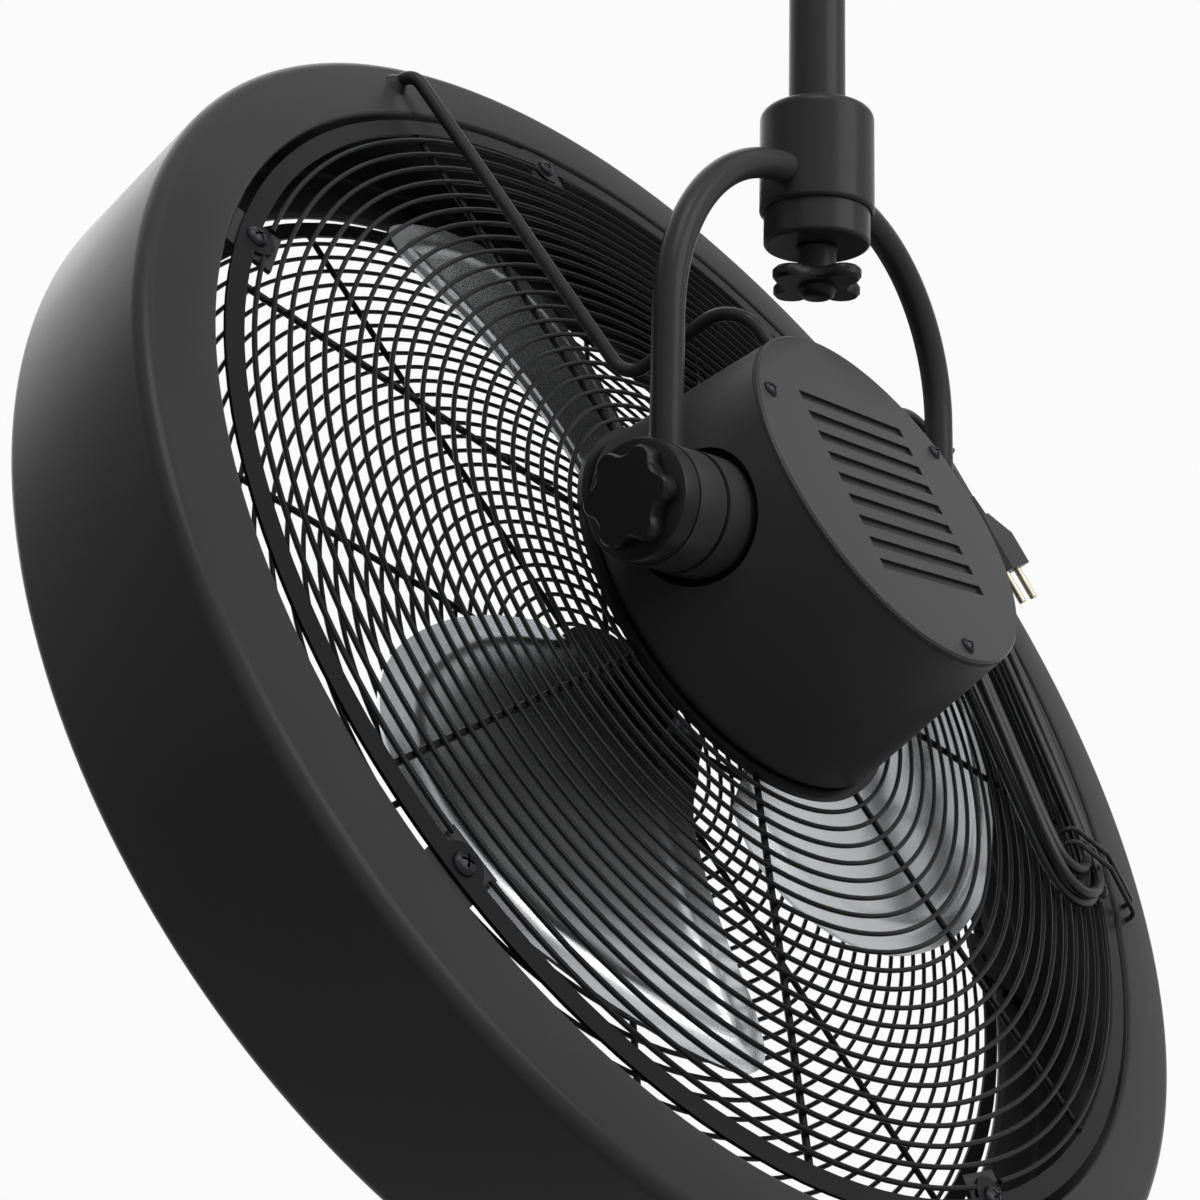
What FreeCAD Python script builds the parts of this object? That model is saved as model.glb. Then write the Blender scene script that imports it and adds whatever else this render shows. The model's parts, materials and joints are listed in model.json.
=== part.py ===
import FreeCAD, Part
import math
import os
import re
from types import SimpleNamespace

import Sketcher
from FreeCAD import Placement, Rotation, Vector

# Ceiling drum fan on a downrod. The origin is the middle of the ceiling face, +Z is up.
# The head is drawn about its own axes: X along the tilt axis, Z out of the rear along the fan axis.

# Driving dimensions in millimetres, angles in degrees, counts as plain numbers
SIZES = {
    # Ceiling mount and downrod
    "axis_drop": 480,
    "plate_thickness": 9,
    "mount_circle_radius": 42,
    "mount_hole_radius": 2.75,
    "mount_hole_count": 4,
    "wire_hole_radius": 9,
    "canopy_radius": 66,
    "canopy_wall": 1.6,
    "canopy_side": 36,
    "canopy_height": 58,
    "canopy_neck": 26,
    "canopy_screw_radius": 2,
    "canopy_screw_length": 12,
    "canopy_screw_count": 3,
    "canopy_screw_angle": 30,
    "mount_hole_angle": 45,
    "socket_radius": 20,
    "socket_length": 38,
    "rod_radius": 13.45,
    "rod_wall": 2,
    "pin_radius": 3,
    # Swivel sleeve, measured up from the tilt axis
    "sleeve_radius": 27,
    "sleeve_top": 210,
    "sleeve_bottom": 159,
    "sleeve_wall": 4.5,
    "sleeve_shoulder": 14,
    "sleeve_round": 5,
    "bushing_wall": 2.4,
    "bushing_flange": 2,
    "collar_thickness": 10,
    "cap_radius": 24.9,
    "cap_bottom": 143,
    "cap_spigot": 7,
    "cap_round": 2,
    "wing_stud_radius": 4,
    "wing_neck_radius": 9,
    "wing_neck_length": 13.7,
    "wing_radius": 25.5,
    "wing_waist": 15.5,
    "wing_thickness": 6.2,
    "wing_count": 4,
    "wing_turn": 79,
    "wing_boss_radius": 9,
    "wing_boss_depth": 5,
    # Yoke and tilt pivots, measured out along the tilt axis
    "arm_radius": 7,
    "arm_height": 174,
    "arm_bury": 9,
    "yoke_end_radius": 25.5,
    "yoke_end_width": 18.4,
    "boss_radius": 26,
    "boss_proud": 9.6,
    "seat_radius": 36,
    "seat_thickness": 3,
    "seat_clear": 0.7,
    "pivot_hole_radius": 29.6,
    "tilt_stud_radius": 5,
    "tilt_stud_length": 54,
    "knob_radius": 21.5,
    "knob_waist": 16.8,
    "knob_length": 7.5,
    "knob_flange": 9.5,
    "knob_flange_radius": 25.3,
    "knob_chamfer": 0.6,
    "knob_lobes": 6,
    "knob_turn": 35,
    # Drum shroud
    "rear_elevation": 27.5,
    "rim_offset": 49.2,
    "drum_radius": 320,
    "drum_depth": 85,
    "drum_wall": 2,
    "drum_round": 6,
    "rim_width": 33,
    # Grilles
    "ring_wire": 1.1,
    "spoke_wire": 1.5,
    "spoke_count": 8,
    "spoke_angle": 21.5,
    "rear_ring_inset": 16.6,
    "rear_ring_count": 21,
    "front_ring_inset": 13,
    "front_ring_count": 28,
    "ring_clear": 5.4,
    "band_inset": 4,
    "band_width": 8.5,
    "band_thickness": 1.5,
    "ear_radius": 9,
    "fixing_inset": 11.5,
    "fixing_count": 6,
    "fixing_angle": 30,
    "fixing_screw_radius": 2.4,
    "fixing_head_radius": 4.8,
    "fixing_head_height": 3,
    "fixing_length": 12,
    "tab_width": 24,
    "tab_thickness": 2,
    "tab_inset": 11,
    "front_cap_radius": 39,
    "front_cap_thickness": 3,
    "mount_plate_lip": 3,
    "mount_plate_thickness": 3,
    # Motor housing
    "housing_front_radius": 97,
    "housing_taper": 10.6,
    "housing_rear": 42,
    "housing_wall": 3,
    "housing_round": 4,
    "housing_shaft_hole": 20,
    "back_plate_thickness": 3,
    "back_plate_chamfer": 1,
    "slot_count": 9,
    "slot_step": 11,
    "slot_width": 5,
    "slot_length": 84,
    "plate_screw_inset": 7.9,
    "plate_screw_radius": 1.9,
    "plate_screw_length": 13,
    "plate_screw_count": 3,
    "plate_screw_angle": 90,
    "post_radius": 5.5,
    # Motor
    "can_radius": 66,
    "can_wall": 2,
    "can_length": 58,
    "can_floor": 3,
    "bearing_radius": 16,
    "bearing_width": 10,
    "bearing_seat_wall": 4,
    "shield_thickness": 3,
    "stator_bore": 36,
    "stator_length": 26,
    "stator_start": 24,
    "coil_inner": 39,
    "coil_outer": 59,
    "coil_length": 7,
    "air_gap": 0.6,
    "shaft_radius": 6,
    "shaft_front": 104,
    "shaft_clear": 3,
    "capacitor_length": 46,
    "capacitor_width": 26,
    "capacitor_height": 20,
    "capacitor_offset": 22,
    # Rotor
    "blade_count": 3,
    "blade_angle": 35,
    "blade_plane": 86,
    "blade_thickness": 1.6,
    "blade_root_pitch": 22,
    "blade_tip_pitch": 10.5,
    "blade_tip_radius": 236,
    "hub_radius": 17,
    "hub_length": 26,
    "spider_radius": 44,
    "spider_thickness": 3,
    "spider_reach": 84,
    "spider_width": 32,
    "nut_radius": 10,
    "nut_height": 6,
    # Aiming rod
    "rod_wire": 3.3,
    "rod_angle": -70,
    "rod_foot_inset": 15,
    "rod_foot_rise": 11,
    "rod_knee_clear": 20,
    "rod_knee_rise": 16.5,
    "rod_top_inset": 6,
    "rod_foot_bend": 9,
    "rod_knee_bend": 12,
    "rod_top_bend": 21,
    "rod_flare": 6.5,
    "rod_flare_height": 4,
    # Mains cord, its hooks and its plug
    "cord_diameter": 5.5,
    "gland_angle": 200,
    "gland_depth": 28,
    "gland_flange_radius": 9,
    "gland_flange": 3,
    "gland_root_radius": 6.5,
    "gland_tip_radius": 4.2,
    "gland_length": 24,
    "lead_in": 27,
    "hank_step": 6.1,
    "hank_bend": 16.5,
    "hank_foot": 116,
    "hank_run": 228,
    "hank_inset": 125.5,
    "hank_rise": 7.9,
    "hank_tilt": 3.7,
    "hook_wire": 1.3,
    "hook_spread": 4.5,
    "hook_low_angle": 149,
    "hook_high_angle": 206,
    "hook_foot_inset": 7,
    "hook_bend": 5,
    "hook_stand": 6,
    "hook_knee": 30,
    "hook_low_drop": 12,
    "hook_high_drop": 26,
    "plug_length": 35,
    "plug_width": 34,
    "plug_thickness": 14,
    "plug_relief": 12,
    "plug_relief_radius": 4,
    "plug_relief_lip": 0.4,
    "plug_bend": 25.3,
    "plug_turn": 18,
    "plug_lead_length": 33.7,
    "plug_pin_radius": 2,
    "plug_pin_length": 19,
    "plug_pin_spacing": 18.6,
    # Clearances
    "running_fit": 0.06,
    "part_gap": 0.3,
    "weld_gap": 0.05,
    "cut_overrun": 1,
}

# Places that follow from the driving dimensions, along the fan axis or the tilt axis
PLACES = {
    "ring_plane": "-rim_offset",
    "rear_spoke_plane": "ring_plane - ring_wire - spoke_wire - weld_gap",
    "rear_band_top": "-rim_offset - drum_wall + band_thickness - weld_gap",
    "tab_top": "-rim_offset - drum_wall - weld_gap",
    "drum_front": "-rim_offset - drum_depth",
    "rim_opening": "drum_radius - rim_width",
    "band_outer": "rim_opening - band_inset",
    "band_inner": "band_outer - band_width",
    "fixing_circle_radius": "rim_opening - fixing_inset",
    "mount_plate_radius": "housing_front_radius + mount_plate_lip",
    "rear_ring_last": "rim_opening - rear_ring_inset",
    "rear_ring_step": "(rear_ring_last - mount_plate_radius - ring_clear) / (rear_ring_count - 1)",
    "front_ring_last": "rim_opening - front_ring_inset",
    "front_ring_step": "(front_ring_last - front_cap_radius - ring_clear) / (front_ring_count - 1)",
    "front_spoke_plane": "drum_front + spoke_wire - weld_gap",
    "front_ring_plane": "front_spoke_plane - ring_wire - spoke_wire - weld_gap",
    "front_band_bottom": "front_spoke_plane + spoke_wire + weld_gap",
    "front_tab_bottom": "front_band_bottom + band_thickness + weld_gap",
    "mount_plate_bottom": "rear_spoke_plane + spoke_wire + weld_gap",
    "housing_front": "mount_plate_bottom + mount_plate_thickness + weld_gap",
    "housing_rear_radius": "housing_front_radius - housing_taper",
    "housing_slope": "housing_taper / (housing_rear - housing_front)",
    "plate_screw_circle": "housing_rear_radius - plate_screw_inset",
    "gland_seat": "gland_flange_radius * housing_slope + part_gap",
    "can_front": "housing_front + housing_wall + weld_gap",
    "can_back": "can_front + can_length",
    "stator_front": "-stator_start",
    "stator_back": "-stator_start + stator_length",
    "plate_seat": "housing_rear + weld_gap",
    "sleeve_cavity": "sleeve_radius - sleeve_wall",
    "bushing_low": "sleeve_top - sleeve_shoulder - bushing_flange",
    "collar_top": "bushing_low - part_gap",
    "collar_low": "collar_top - collar_thickness",
    "pivot_wall": "housing_rear_radius + housing_slope * housing_rear",
    "boss_start": "sqrt((pivot_wall - housing_wall)^2 - seat_radius^2) - seat_clear",
    "boss_end": "pivot_wall + boss_proud",
    "yoke_end_start": "boss_end + part_gap",
    "yoke_end_stop": "yoke_end_start + yoke_end_width",
    "arm_offset": "yoke_end_start + yoke_end_width / 2",
    "arm_bend": "arm_offset - sleeve_radius + arm_bury",
    "knob_start": "yoke_end_stop + part_gap",
    "rod_foot_radius": "drum_radius - rod_foot_inset",
    "rod_knee_radius": "housing_front_radius + rod_knee_clear",
    "rod_top": "housing_rear - rod_top_inset",
    "cord_radius": "cord_diameter / 2",
    "hank_low": "ring_plane + hank_rise",
    "hank_offset": "drum_radius - hank_inset",
    "hank_high": "hank_step + cord_radius + part_gap + plug_thickness / 2",
    "hook_foot_radius": "rim_opening + hook_foot_inset",
}

doc = FreeCAD.newDocument("DrumFan")


def prefixed(text):
    """Point each size named in a formula at its cell."""
    def cell(word):
        name = word.group()
        if name in SIZES:
            return "Sizes." + name
        if name in PLACES:
            return "Places." + name
        return name
    return re.sub(r"[a-z][a-z_]*", cell, text)


def fill_sheet(name, cells):
    sheet = doc.addObject("Spreadsheet::Sheet", name)
    for row, (alias, text) in enumerate(cells.items(), start=1):
        sheet.set(f"A{row}", alias)
        sheet.set(f"B{row}", text)
        sheet.setAlias(f"B{row}", alias)
        doc.recompute([sheet])
    return {alias: float(sheet.get(alias)) for alias in cells}


sizes = fill_sheet("Sizes", {name: str(value) for name, value in SIZES.items()})
places = fill_sheet("Places", {name: "=" + prefixed(text) for name, text in PLACES.items()})
d = SimpleNamespace(**sizes, **places)

CEILING = Placement()
YOKE = Placement(Vector(0, 0, -d.axis_drop), Rotation())
HEAD = Placement(Vector(0, 0, -d.axis_drop), Rotation(Vector(1, 0, 0), d.rear_elevation - 90))
UP = Vector(0, 0, 1)
OUT = Vector(1, 0, 0)
SIDES = {"left": 1, "right": -1}

nodes = {}


def bind(item, prop, text):
    item.setExpression(prop, prefixed(text))


def keep(label, item, place):
    """Name a finished piece and put it in its place."""
    item.Label = label
    item.Placement = place
    nodes[label] = item
    return item


def polar(radius, degrees, height=0.0):
    angle = math.radians(degrees)
    return Vector(radius * math.cos(angle), radius * math.sin(angle), height)


def along_tilt(side, base):
    """Turn a piece drawn along Z so that it points out along the tilt axis on one side."""
    return base.multiply(Placement(Vector(), Rotation(Vector(0, 1, 0), 90 * side)))


def even_angles(count, first):
    return [first + 360.0 * step / count for step in range(int(count))]


# Turned pieces: a closed profile of straight sides spun about the local Z axis
def turned_body(name, corners, rounds=()):
    body = doc.addObject("PartDesign::Body", name)
    sketch = body.newObject("Sketcher::SketchObject", name + "_profile")
    plane = [item for item in body.Origin.OriginFeatures if item.Role == "XZ_Plane"][0]
    sketch.AttachmentSupport = [(plane, "")]
    sketch.MapMode = "FlatFace"
    count = len(corners)
    start = [polar(10, 360.0 * step / count) for step in range(count)]
    for step in range(count):
        sketch.addGeometry(Part.LineSegment(start[step], start[(step + 1) % count]), False)
    for step in range(count):
        sketch.addConstraint(Sketcher.Constraint("Coincident", step, 2, (step + 1) % count, 1))
    for step, (across, height) in enumerate(corners):
        x_row = sketch.addConstraint(Sketcher.Constraint("DistanceX", -1, 1, step, 1, start[step].x))
        y_row = sketch.addConstraint(Sketcher.Constraint("DistanceY", -1, 1, step, 1, start[step].y))
        bind(sketch, f"Constraints[{x_row}]", across)
        bind(sketch, f"Constraints[{y_row}]", height)
    spin = body.newObject("PartDesign::Revolution", name + "_spin")
    spin.Profile = sketch
    spin.ReferenceAxis = (sketch, ["V_Axis"])
    spin.Angle = 360
    doc.recompute()
    for row, (size, radius, height) in enumerate(rounds):
        base = body.Tip
        edges = circle_edges(base.Shape, radius, height)
        fillet = body.newObject("PartDesign::Fillet", f"{name}_round{row}")
        fillet.Base = (base, edges)
        bind(fillet, "Radius", size)
        doc.recompute()
    return body


def circle_edges(shape, radius, height, slack=0.01):
    found = []
    for row, edge in enumerate(shape.Edges, start=1):
        if not isinstance(edge.Curve, Part.Circle):
            continue
        if abs(edge.Curve.Radius - radius) < slack and abs(edge.Curve.Center.z - height) < slack:
            found.append(f"Edge{row}")
    return found


def turned(label, corners, place, rounds=()):
    return keep(label, turned_body(label, corners, rounds), place)


def tube_corners(inner, outer, low, high):
    return [(inner, low), (outer, low), (outer, high), (inner, high)]


# Drilled pieces: cylinders and boxes taken out of a blank
def cylinder(name, radius, height, start, axis=UP):
    item = doc.addObject("Part::Cylinder", name)
    bind(item, "Radius", radius)
    bind(item, "Height", height)
    item.Placement = Placement(start, Rotation(UP, axis))
    return item


def box(name, length, width, height, corner, turn=0.0):
    item = doc.addObject("Part::Box", name)
    bind(item, "Length", length)
    bind(item, "Width", width)
    bind(item, "Height", height)
    item.Placement = Placement(Vector(), Rotation(UP, turn)).multiply(Placement(corner, Rotation()))
    return item


def gathered(name, kind, items):
    item = doc.addObject(kind, name)
    item.Shapes = items
    return item


def cut(name, blank, tools):
    item = doc.addObject("Part::Cut", name)
    item.Base = blank
    item.Tool = tools[0] if len(tools) == 1 else gathered(name + "_tools", "Part::MultiFuse", tools)
    return item


def solid_group(label, shapes, place):
    """A piece, or a group of like pieces, whose form is worked out by the functions below."""
    item = doc.addObject("Part::Feature", label)
    item.Shape = shapes[0] if len(shapes) == 1 else Part.makeCompound(shapes)
    return keep(label, item, place.multiply(item.Placement))


# Bent rods and cords: straight runs joined by tangent arcs
def rounded_path(points, bend_of):
    edges = []
    last = points[0]
    for before, corner, after in zip(points, points[1:], points[2:]):
        inward = (before - corner).normalize()
        outward = (after - corner).normalize()
        half = (math.pi - inward.getAngle(outward)) / 2
        reach = bend_of(before, corner, after, half) * math.tan(half)
        begin = corner + inward * reach
        end = corner + outward * reach
        middle_way = (inward + outward).normalize()
        radius = reach / math.tan(half)
        middle = corner + middle_way * (radius / math.cos(half) - radius)
        edges.append(Part.LineSegment(last, begin).toShape())
        edges.append(Part.Arc(begin, middle, end).toShape())
        last = end
    edges.append(Part.LineSegment(last, points[-1]).toShape())
    return Part.Wire(edges)


def bent_rod(points, wire_radius, bends):
    turns = iter(bends)
    return swept(rounded_path(points, lambda before, corner, after, half: next(turns)), wire_radius)


def swept(path, wire_radius):
    first = path.OrderedEdges[0]
    start = first.valueAt(first.FirstParameter)
    ring = Part.Wire(Part.makeCircle(wire_radius, start, first.tangentAt(first.FirstParameter)))
    return path.makePipeShell([ring], True, False)


CORD_BEND_SHARE = 0.45


def cord_tube(label, points):
    """A free stretch of cord; prints its bends and how its volume compares with section times length."""
    bends = []

    def bend_of(before, corner, after, half):
        run = min((corner - before).Length, (after - corner).Length)
        bends.append(CORD_BEND_SHARE * run / math.tan(half))
        return bends[-1]

    path = rounded_path(points, bend_of)
    tube = swept(path, d.cord_radius)
    ratio = tube.Volume / (math.pi * d.cord_radius ** 2 * path.Length)
    print(label, "length", round(path.Length, 1), "bends", [round(bend, 1) for bend in bends],
          "volume ratio", round(ratio, 4))
    return solid_group(label, [tube], HEAD)


# Knobs: a lobed outline of arcs, swelling and drawing in by turns
def lobed_face(lobes, outer, waist, turn, height):
    lobes = int(lobes)
    middle = (outer + waist) / 2
    step = 90.0 / lobes
    arcs = []
    for lobe in range(lobes):
        centre = turn + 360.0 * lobe / lobes
        left = polar(middle, centre - step, height)
        right = polar(middle, centre + step, height)
        arcs.append(Part.Arc(left, polar(outer, centre, height), right).toShape())
        after = polar(middle, centre + 3 * step, height)
        arcs.append(Part.Arc(right, polar(waist, centre + 2 * step, height), after).toShape())
    return Part.Face(Part.Wire(arcs))


def pan_screw(head_radius, head_height, shank_radius, shank_length):
    """A screw drawn along Z with the underside of its head at zero."""
    head = Part.makeCylinder(head_radius, head_height)
    rim = [edge for edge in head.Edges if abs(edge.BoundBox.ZMin - head_height) < 1e-6]
    head = head.makeFillet(0.45 * head_height, rim)
    shank = Part.makeCylinder(shank_radius, shank_length, Vector(0, 0, -shank_length))
    return head.fuse(shank).removeSplitter()


def at(shape, place):
    moved = shape.copy()
    moved.Placement = place.multiply(moved.Placement)
    return moved


# Ceiling mount: plate, socket, cross pin, canopy and its screws
canopy_angles = even_angles(d.canopy_screw_count, d.canopy_screw_angle)
screw_level = -d.plate_thickness / 2
plate_blank = turned_body("ceiling_plate_blank", tube_corners(
    "wire_hole_radius", "canopy_radius - canopy_wall - part_gap", "-plate_thickness", "0"))
plate_tools = [cylinder(f"mount_hole{row}", "mount_hole_radius", "plate_thickness + 2 * cut_overrun",
                        polar(d.mount_circle_radius, angle, -d.plate_thickness - d.cut_overrun))
               for row, angle in enumerate(even_angles(d.mount_hole_count, d.mount_hole_angle))]
plate_tools += [cylinder(f"tapped_hole{row}", "canopy_screw_radius + weld_gap",
                         "canopy_screw_length + cut_overrun",
                         polar(d.canopy_radius - d.canopy_screw_length - d.cut_overrun, angle, screw_level),
                         polar(1, angle))
                for row, angle in enumerate(canopy_angles)]
keep("ceiling_plate", cut("ceiling_plate_cut", plate_blank, plate_tools), CEILING)

pin_level = -d.plate_thickness - d.socket_length / 2
pin_start = Vector(-d.socket_radius - d.pin_radius, 0, pin_level)


def pin_hole(name):
    return cylinder(name, "pin_radius + weld_gap", "2 * socket_radius + 2 * pin_radius", pin_start, OUT)


socket_blank = turned_body("rod_socket_blank", tube_corners(
    "rod_radius + weld_gap", "socket_radius", "-plate_thickness - socket_length",
    "-plate_thickness - weld_gap"))
keep("rod_socket", cut("rod_socket_cut", socket_blank, [pin_hole("socket_pin_hole")]), CEILING)

rod_blank = turned_body("downrod_blank", tube_corners(
    "rod_radius - rod_wall", "rod_radius", "collar_low - axis_drop", "-plate_thickness - part_gap"))
keep("downrod", cut("downrod_cut", rod_blank, [pin_hole("rod_pin_hole")]), CEILING)
keep("rod_pin", cylinder("rod_pin", "pin_radius", "2 * socket_radius + 2 * pin_radius", pin_start, OUT),
     Placement(pin_start, Rotation(UP, OUT)))

canopy_blank = turned_body("canopy_blank", [
    ("canopy_radius - canopy_wall", "0"),
    ("canopy_radius", "0"),
    ("canopy_radius", "-canopy_side"),
    ("canopy_neck", "-canopy_height"),
    ("rod_radius + part_gap", "-canopy_height"),
    ("rod_radius + part_gap", "-canopy_height + canopy_wall"),
    ("canopy_neck - canopy_wall / 2", "-canopy_height + canopy_wall"),
    ("canopy_radius - canopy_wall", "-canopy_side + canopy_wall / 2")])
canopy_tools = [cylinder(f"canopy_hole{row}", "canopy_screw_radius + part_gap", "3 * canopy_wall",
                         polar(d.canopy_radius - 2 * d.canopy_wall, angle, screw_level), polar(1, angle))
                for row, angle in enumerate(canopy_angles)]
keep("canopy", cut("canopy_cut", canopy_blank, canopy_tools), CEILING)

canopy_screw = pan_screw(2 * d.canopy_screw_radius, 1.2 * d.canopy_screw_radius,
                         d.canopy_screw_radius, d.canopy_screw_length)
solid_group("canopy_screws", [
    at(canopy_screw, Placement(polar(d.canopy_radius + d.weld_gap, angle, screw_level),
                               Rotation(UP, polar(1, angle))))
    for angle in canopy_angles], CEILING)

# Collar on the rod's lower end, which carries the sleeve through the bushing's flange
turned("rod_collar", tube_corners("rod_radius + weld_gap", "sleeve_cavity - 2 * part_gap",
                                  "collar_low", "collar_top"), YOKE)

# Swivel: sleeve, bushing, lower cap and wing knob
turned("swivel_sleeve", [
    ("rod_radius + bushing_wall + weld_gap", "sleeve_top"),
    ("sleeve_radius", "sleeve_top"),
    ("sleeve_radius", "sleeve_bottom"),
    ("sleeve_cavity", "sleeve_bottom"),
    ("sleeve_cavity", "sleeve_top - sleeve_shoulder"),
    ("rod_radius + bushing_wall + weld_gap", "sleeve_top - sleeve_shoulder")], YOKE,
    [("sleeve_round", d.sleeve_radius, d.sleeve_top), ("cap_round", d.sleeve_radius, d.sleeve_bottom)])

turned("swivel_bushing", [
    ("rod_radius + running_fit", "bushing_low"),
    ("sleeve_cavity - part_gap", "bushing_low"),
    ("sleeve_cavity - part_gap", "bushing_low + bushing_flange - weld_gap"),
    ("rod_radius + bushing_wall", "bushing_low + bushing_flange - weld_gap"),
    ("rod_radius + bushing_wall", "sleeve_top"),
    ("rod_radius + running_fit", "sleeve_top")], YOKE)

turned("lower_cap", [
    ("wing_stud_radius + running_fit", "cap_bottom"),
    ("cap_radius", "cap_bottom"),
    ("cap_radius", "sleeve_bottom - part_gap"),
    ("sleeve_cavity - weld_gap", "sleeve_bottom - part_gap"),
    ("sleeve_cavity - weld_gap", "sleeve_bottom + cap_spigot"),
    ("wing_stud_radius + running_fit", "sleeve_bottom + cap_spigot")], YOKE,
    [("cap_round", d.cap_radius, d.cap_bottom)])

wing_top = d.cap_bottom - d.part_gap - d.wing_neck_length
wing_floor = wing_top - d.wing_thickness
stud_foot = wing_floor + d.wing_thickness / 2
stud_top = d.collar_low - d.part_gap
wing = lobed_face(d.wing_count, d.wing_radius, d.wing_waist, d.wing_turn, wing_floor)
wing = wing.extrude(UP * d.wing_thickness)
wing = wing.makeFillet(d.wing_thickness / 5, [edge for edge in wing.Edges if edge.BoundBox.ZLength < 1e-6])
neck = Part.makeCylinder(d.wing_neck_radius, d.wing_neck_length + d.wing_thickness / 2,
                         Vector(0, 0, stud_foot))
boss_floor = wing_floor - d.wing_boss_depth
boss = Part.makeCylinder(d.wing_boss_radius, d.wing_boss_depth + d.wing_thickness / 2,
                         Vector(0, 0, boss_floor))
boss = boss.makeFillet(0.8 * d.wing_boss_depth,
                       [edge for edge in boss.Edges if edge.BoundBox.ZMax < boss_floor + 1e-6])
stud_hole = Part.makeCylinder(d.wing_stud_radius + d.weld_gap, d.axis_drop, Vector(0, 0, stud_foot))
solid_group("wing_knob", [wing.fuse([neck, boss]).cut(stud_hole)], YOKE)
solid_group("wing_stud", [Part.makeCylinder(d.wing_stud_radius, stud_top - stud_foot - d.weld_gap,
                                            Vector(0, 0, stud_foot + d.weld_gap))], YOKE)

# Yoke: two bent tubes between the sleeve and the pivot discs
sleeve_solid = Part.makeCylinder(d.sleeve_radius + d.weld_gap, d.axis_drop, Vector())
for name, side in SIDES.items():
    elbow = d.arm_offset - d.arm_bend
    centre = Vector(side * elbow, 0, d.arm_height - d.arm_bend)
    top = Vector(side * elbow, 0, d.arm_height)
    shoulder = Vector(side * d.arm_offset, 0, centre.z)
    lean = Vector(side, 0, 1).normalize() * d.arm_bend
    path = Part.Wire([Part.Arc(top, centre + lean, shoulder).toShape(),
                      Part.LineSegment(shoulder, Vector(side * d.arm_offset, 0, 0)).toShape()])
    disc = Part.makeCylinder(d.yoke_end_radius + d.weld_gap, 2 * d.yoke_end_width,
                             Vector(side * (d.yoke_end_start - d.yoke_end_width / 2), 0, 0), OUT * side)
    arm = swept(path, d.arm_radius).cut(sleeve_solid).cut(disc)
    solid_group(f"yoke_arm_{name}", [max(arm.Solids, key=lambda solid: solid.Volume)], YOKE)

for name, side in SIDES.items():
    turned(f"yoke_end_{name}", tube_corners("tilt_stud_radius + running_fit", "yoke_end_radius",
                                            "yoke_end_start", "yoke_end_stop"), along_tilt(side, YOKE),
           [("cap_round", d.yoke_end_radius, d.yoke_end_start)])

# Tilt pivots: boss on the motor housing, star knob and stud
stud_start = d.knob_start + d.knob_flange + d.knob_length / 2 - d.tilt_stud_length
for name, side in SIDES.items():
    turned(f"pivot_boss_{name}", [
        ("tilt_stud_radius + running_fit", "boss_start - seat_thickness"),
        ("seat_radius", "boss_start - seat_thickness"),
        ("seat_radius", "boss_start"),
        ("boss_radius", "boss_start"),
        ("boss_radius", "boss_end"),
        ("tilt_stud_radius + running_fit", "boss_end")], along_tilt(side, HEAD))
    flange = Part.makeCylinder(d.knob_flange_radius, d.knob_flange, Vector(0, 0, d.knob_start))
    grip_start = d.knob_start + d.knob_flange
    grip = lobed_face(d.knob_lobes, d.knob_radius, d.knob_waist, d.knob_turn, grip_start)
    grip = grip.extrude(UP * d.knob_length)
    face_edges = [edge for edge in grip.Edges
                  if edge.BoundBox.ZMin > grip_start + d.knob_length - 1e-6]
    grip = grip.makeChamfer(d.knob_chamfer, face_edges)
    stud_end = stud_start + d.tilt_stud_length
    bore = Part.makeCylinder(d.tilt_stud_radius + d.weld_gap, d.tilt_stud_length + d.weld_gap,
                             Vector(0, 0, stud_start))
    solid_group(f"tilt_knob_{name}", [grip.fuse(flange).cut(bore)], along_tilt(side, YOKE))
    keep(f"tilt_stud_{name}", cylinder(f"tilt_stud_{name}", "tilt_stud_radius", "tilt_stud_length", Vector()),
         along_tilt(side, YOKE).multiply(Placement(Vector(0, 0, stud_start), Rotation())))

# Drum shroud: rolled wall turned in to a flat rear face and a flat front flange
turned("drum_shroud", [
    ("rim_opening", "-rim_offset"),
    ("drum_radius", "-rim_offset"),
    ("drum_radius", "drum_front"),
    ("rim_opening", "drum_front"),
    ("rim_opening", "drum_front + drum_wall"),
    ("drum_radius - drum_wall", "drum_front + drum_wall"),
    ("drum_radius - drum_wall", "-rim_offset - drum_wall"),
    ("rim_opening", "-rim_offset - drum_wall")], HEAD,
    [("drum_round", d.drum_radius, -d.rim_offset),
     ("drum_round", d.drum_radius, d.drum_front),
     ("drum_round - drum_wall", d.drum_radius - d.drum_wall, -d.rim_offset - d.drum_wall),
     ("drum_round - drum_wall", d.drum_radius - d.drum_wall, d.drum_front + d.drum_wall)])

# Tabs on the drum that carry both grilles
fixing_angles = even_angles(d.fixing_count, d.fixing_angle)
tab_start = d.fixing_circle_radius - d.tab_inset
tab_end = math.sqrt((d.drum_radius - d.drum_wall - d.part_gap) ** 2 - (d.tab_width / 2) ** 2) - d.drum_round
tab_foot = d.rim_opening + d.drum_wall


def tabs(label, top, seat):
    """Tabs flat against one of the drum's faces, or joggled down to it on a foot."""
    blank = Part.makeBox(tab_end - tab_start, d.tab_width, d.tab_thickness,
                         Vector(tab_start, -d.tab_width / 2, top - d.tab_thickness))
    if seat < top - d.tab_thickness:
        foot = Part.makeBox(tab_end - tab_foot, d.tab_width, top - seat,
                            Vector(tab_foot, -d.tab_width / 2, seat))
        blank = blank.fuse(foot).removeSplitter()
    hole = Part.makeCylinder(d.fixing_screw_radius + d.weld_gap, 2 * d.tab_thickness,
                             Vector(d.fixing_circle_radius, 0, top - 1.5 * d.tab_thickness))
    tab = blank.cut(hole)
    solid_group(label, [at(tab, Placement(Vector(), Rotation(UP, angle))) for angle in fixing_angles], HEAD)


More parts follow.
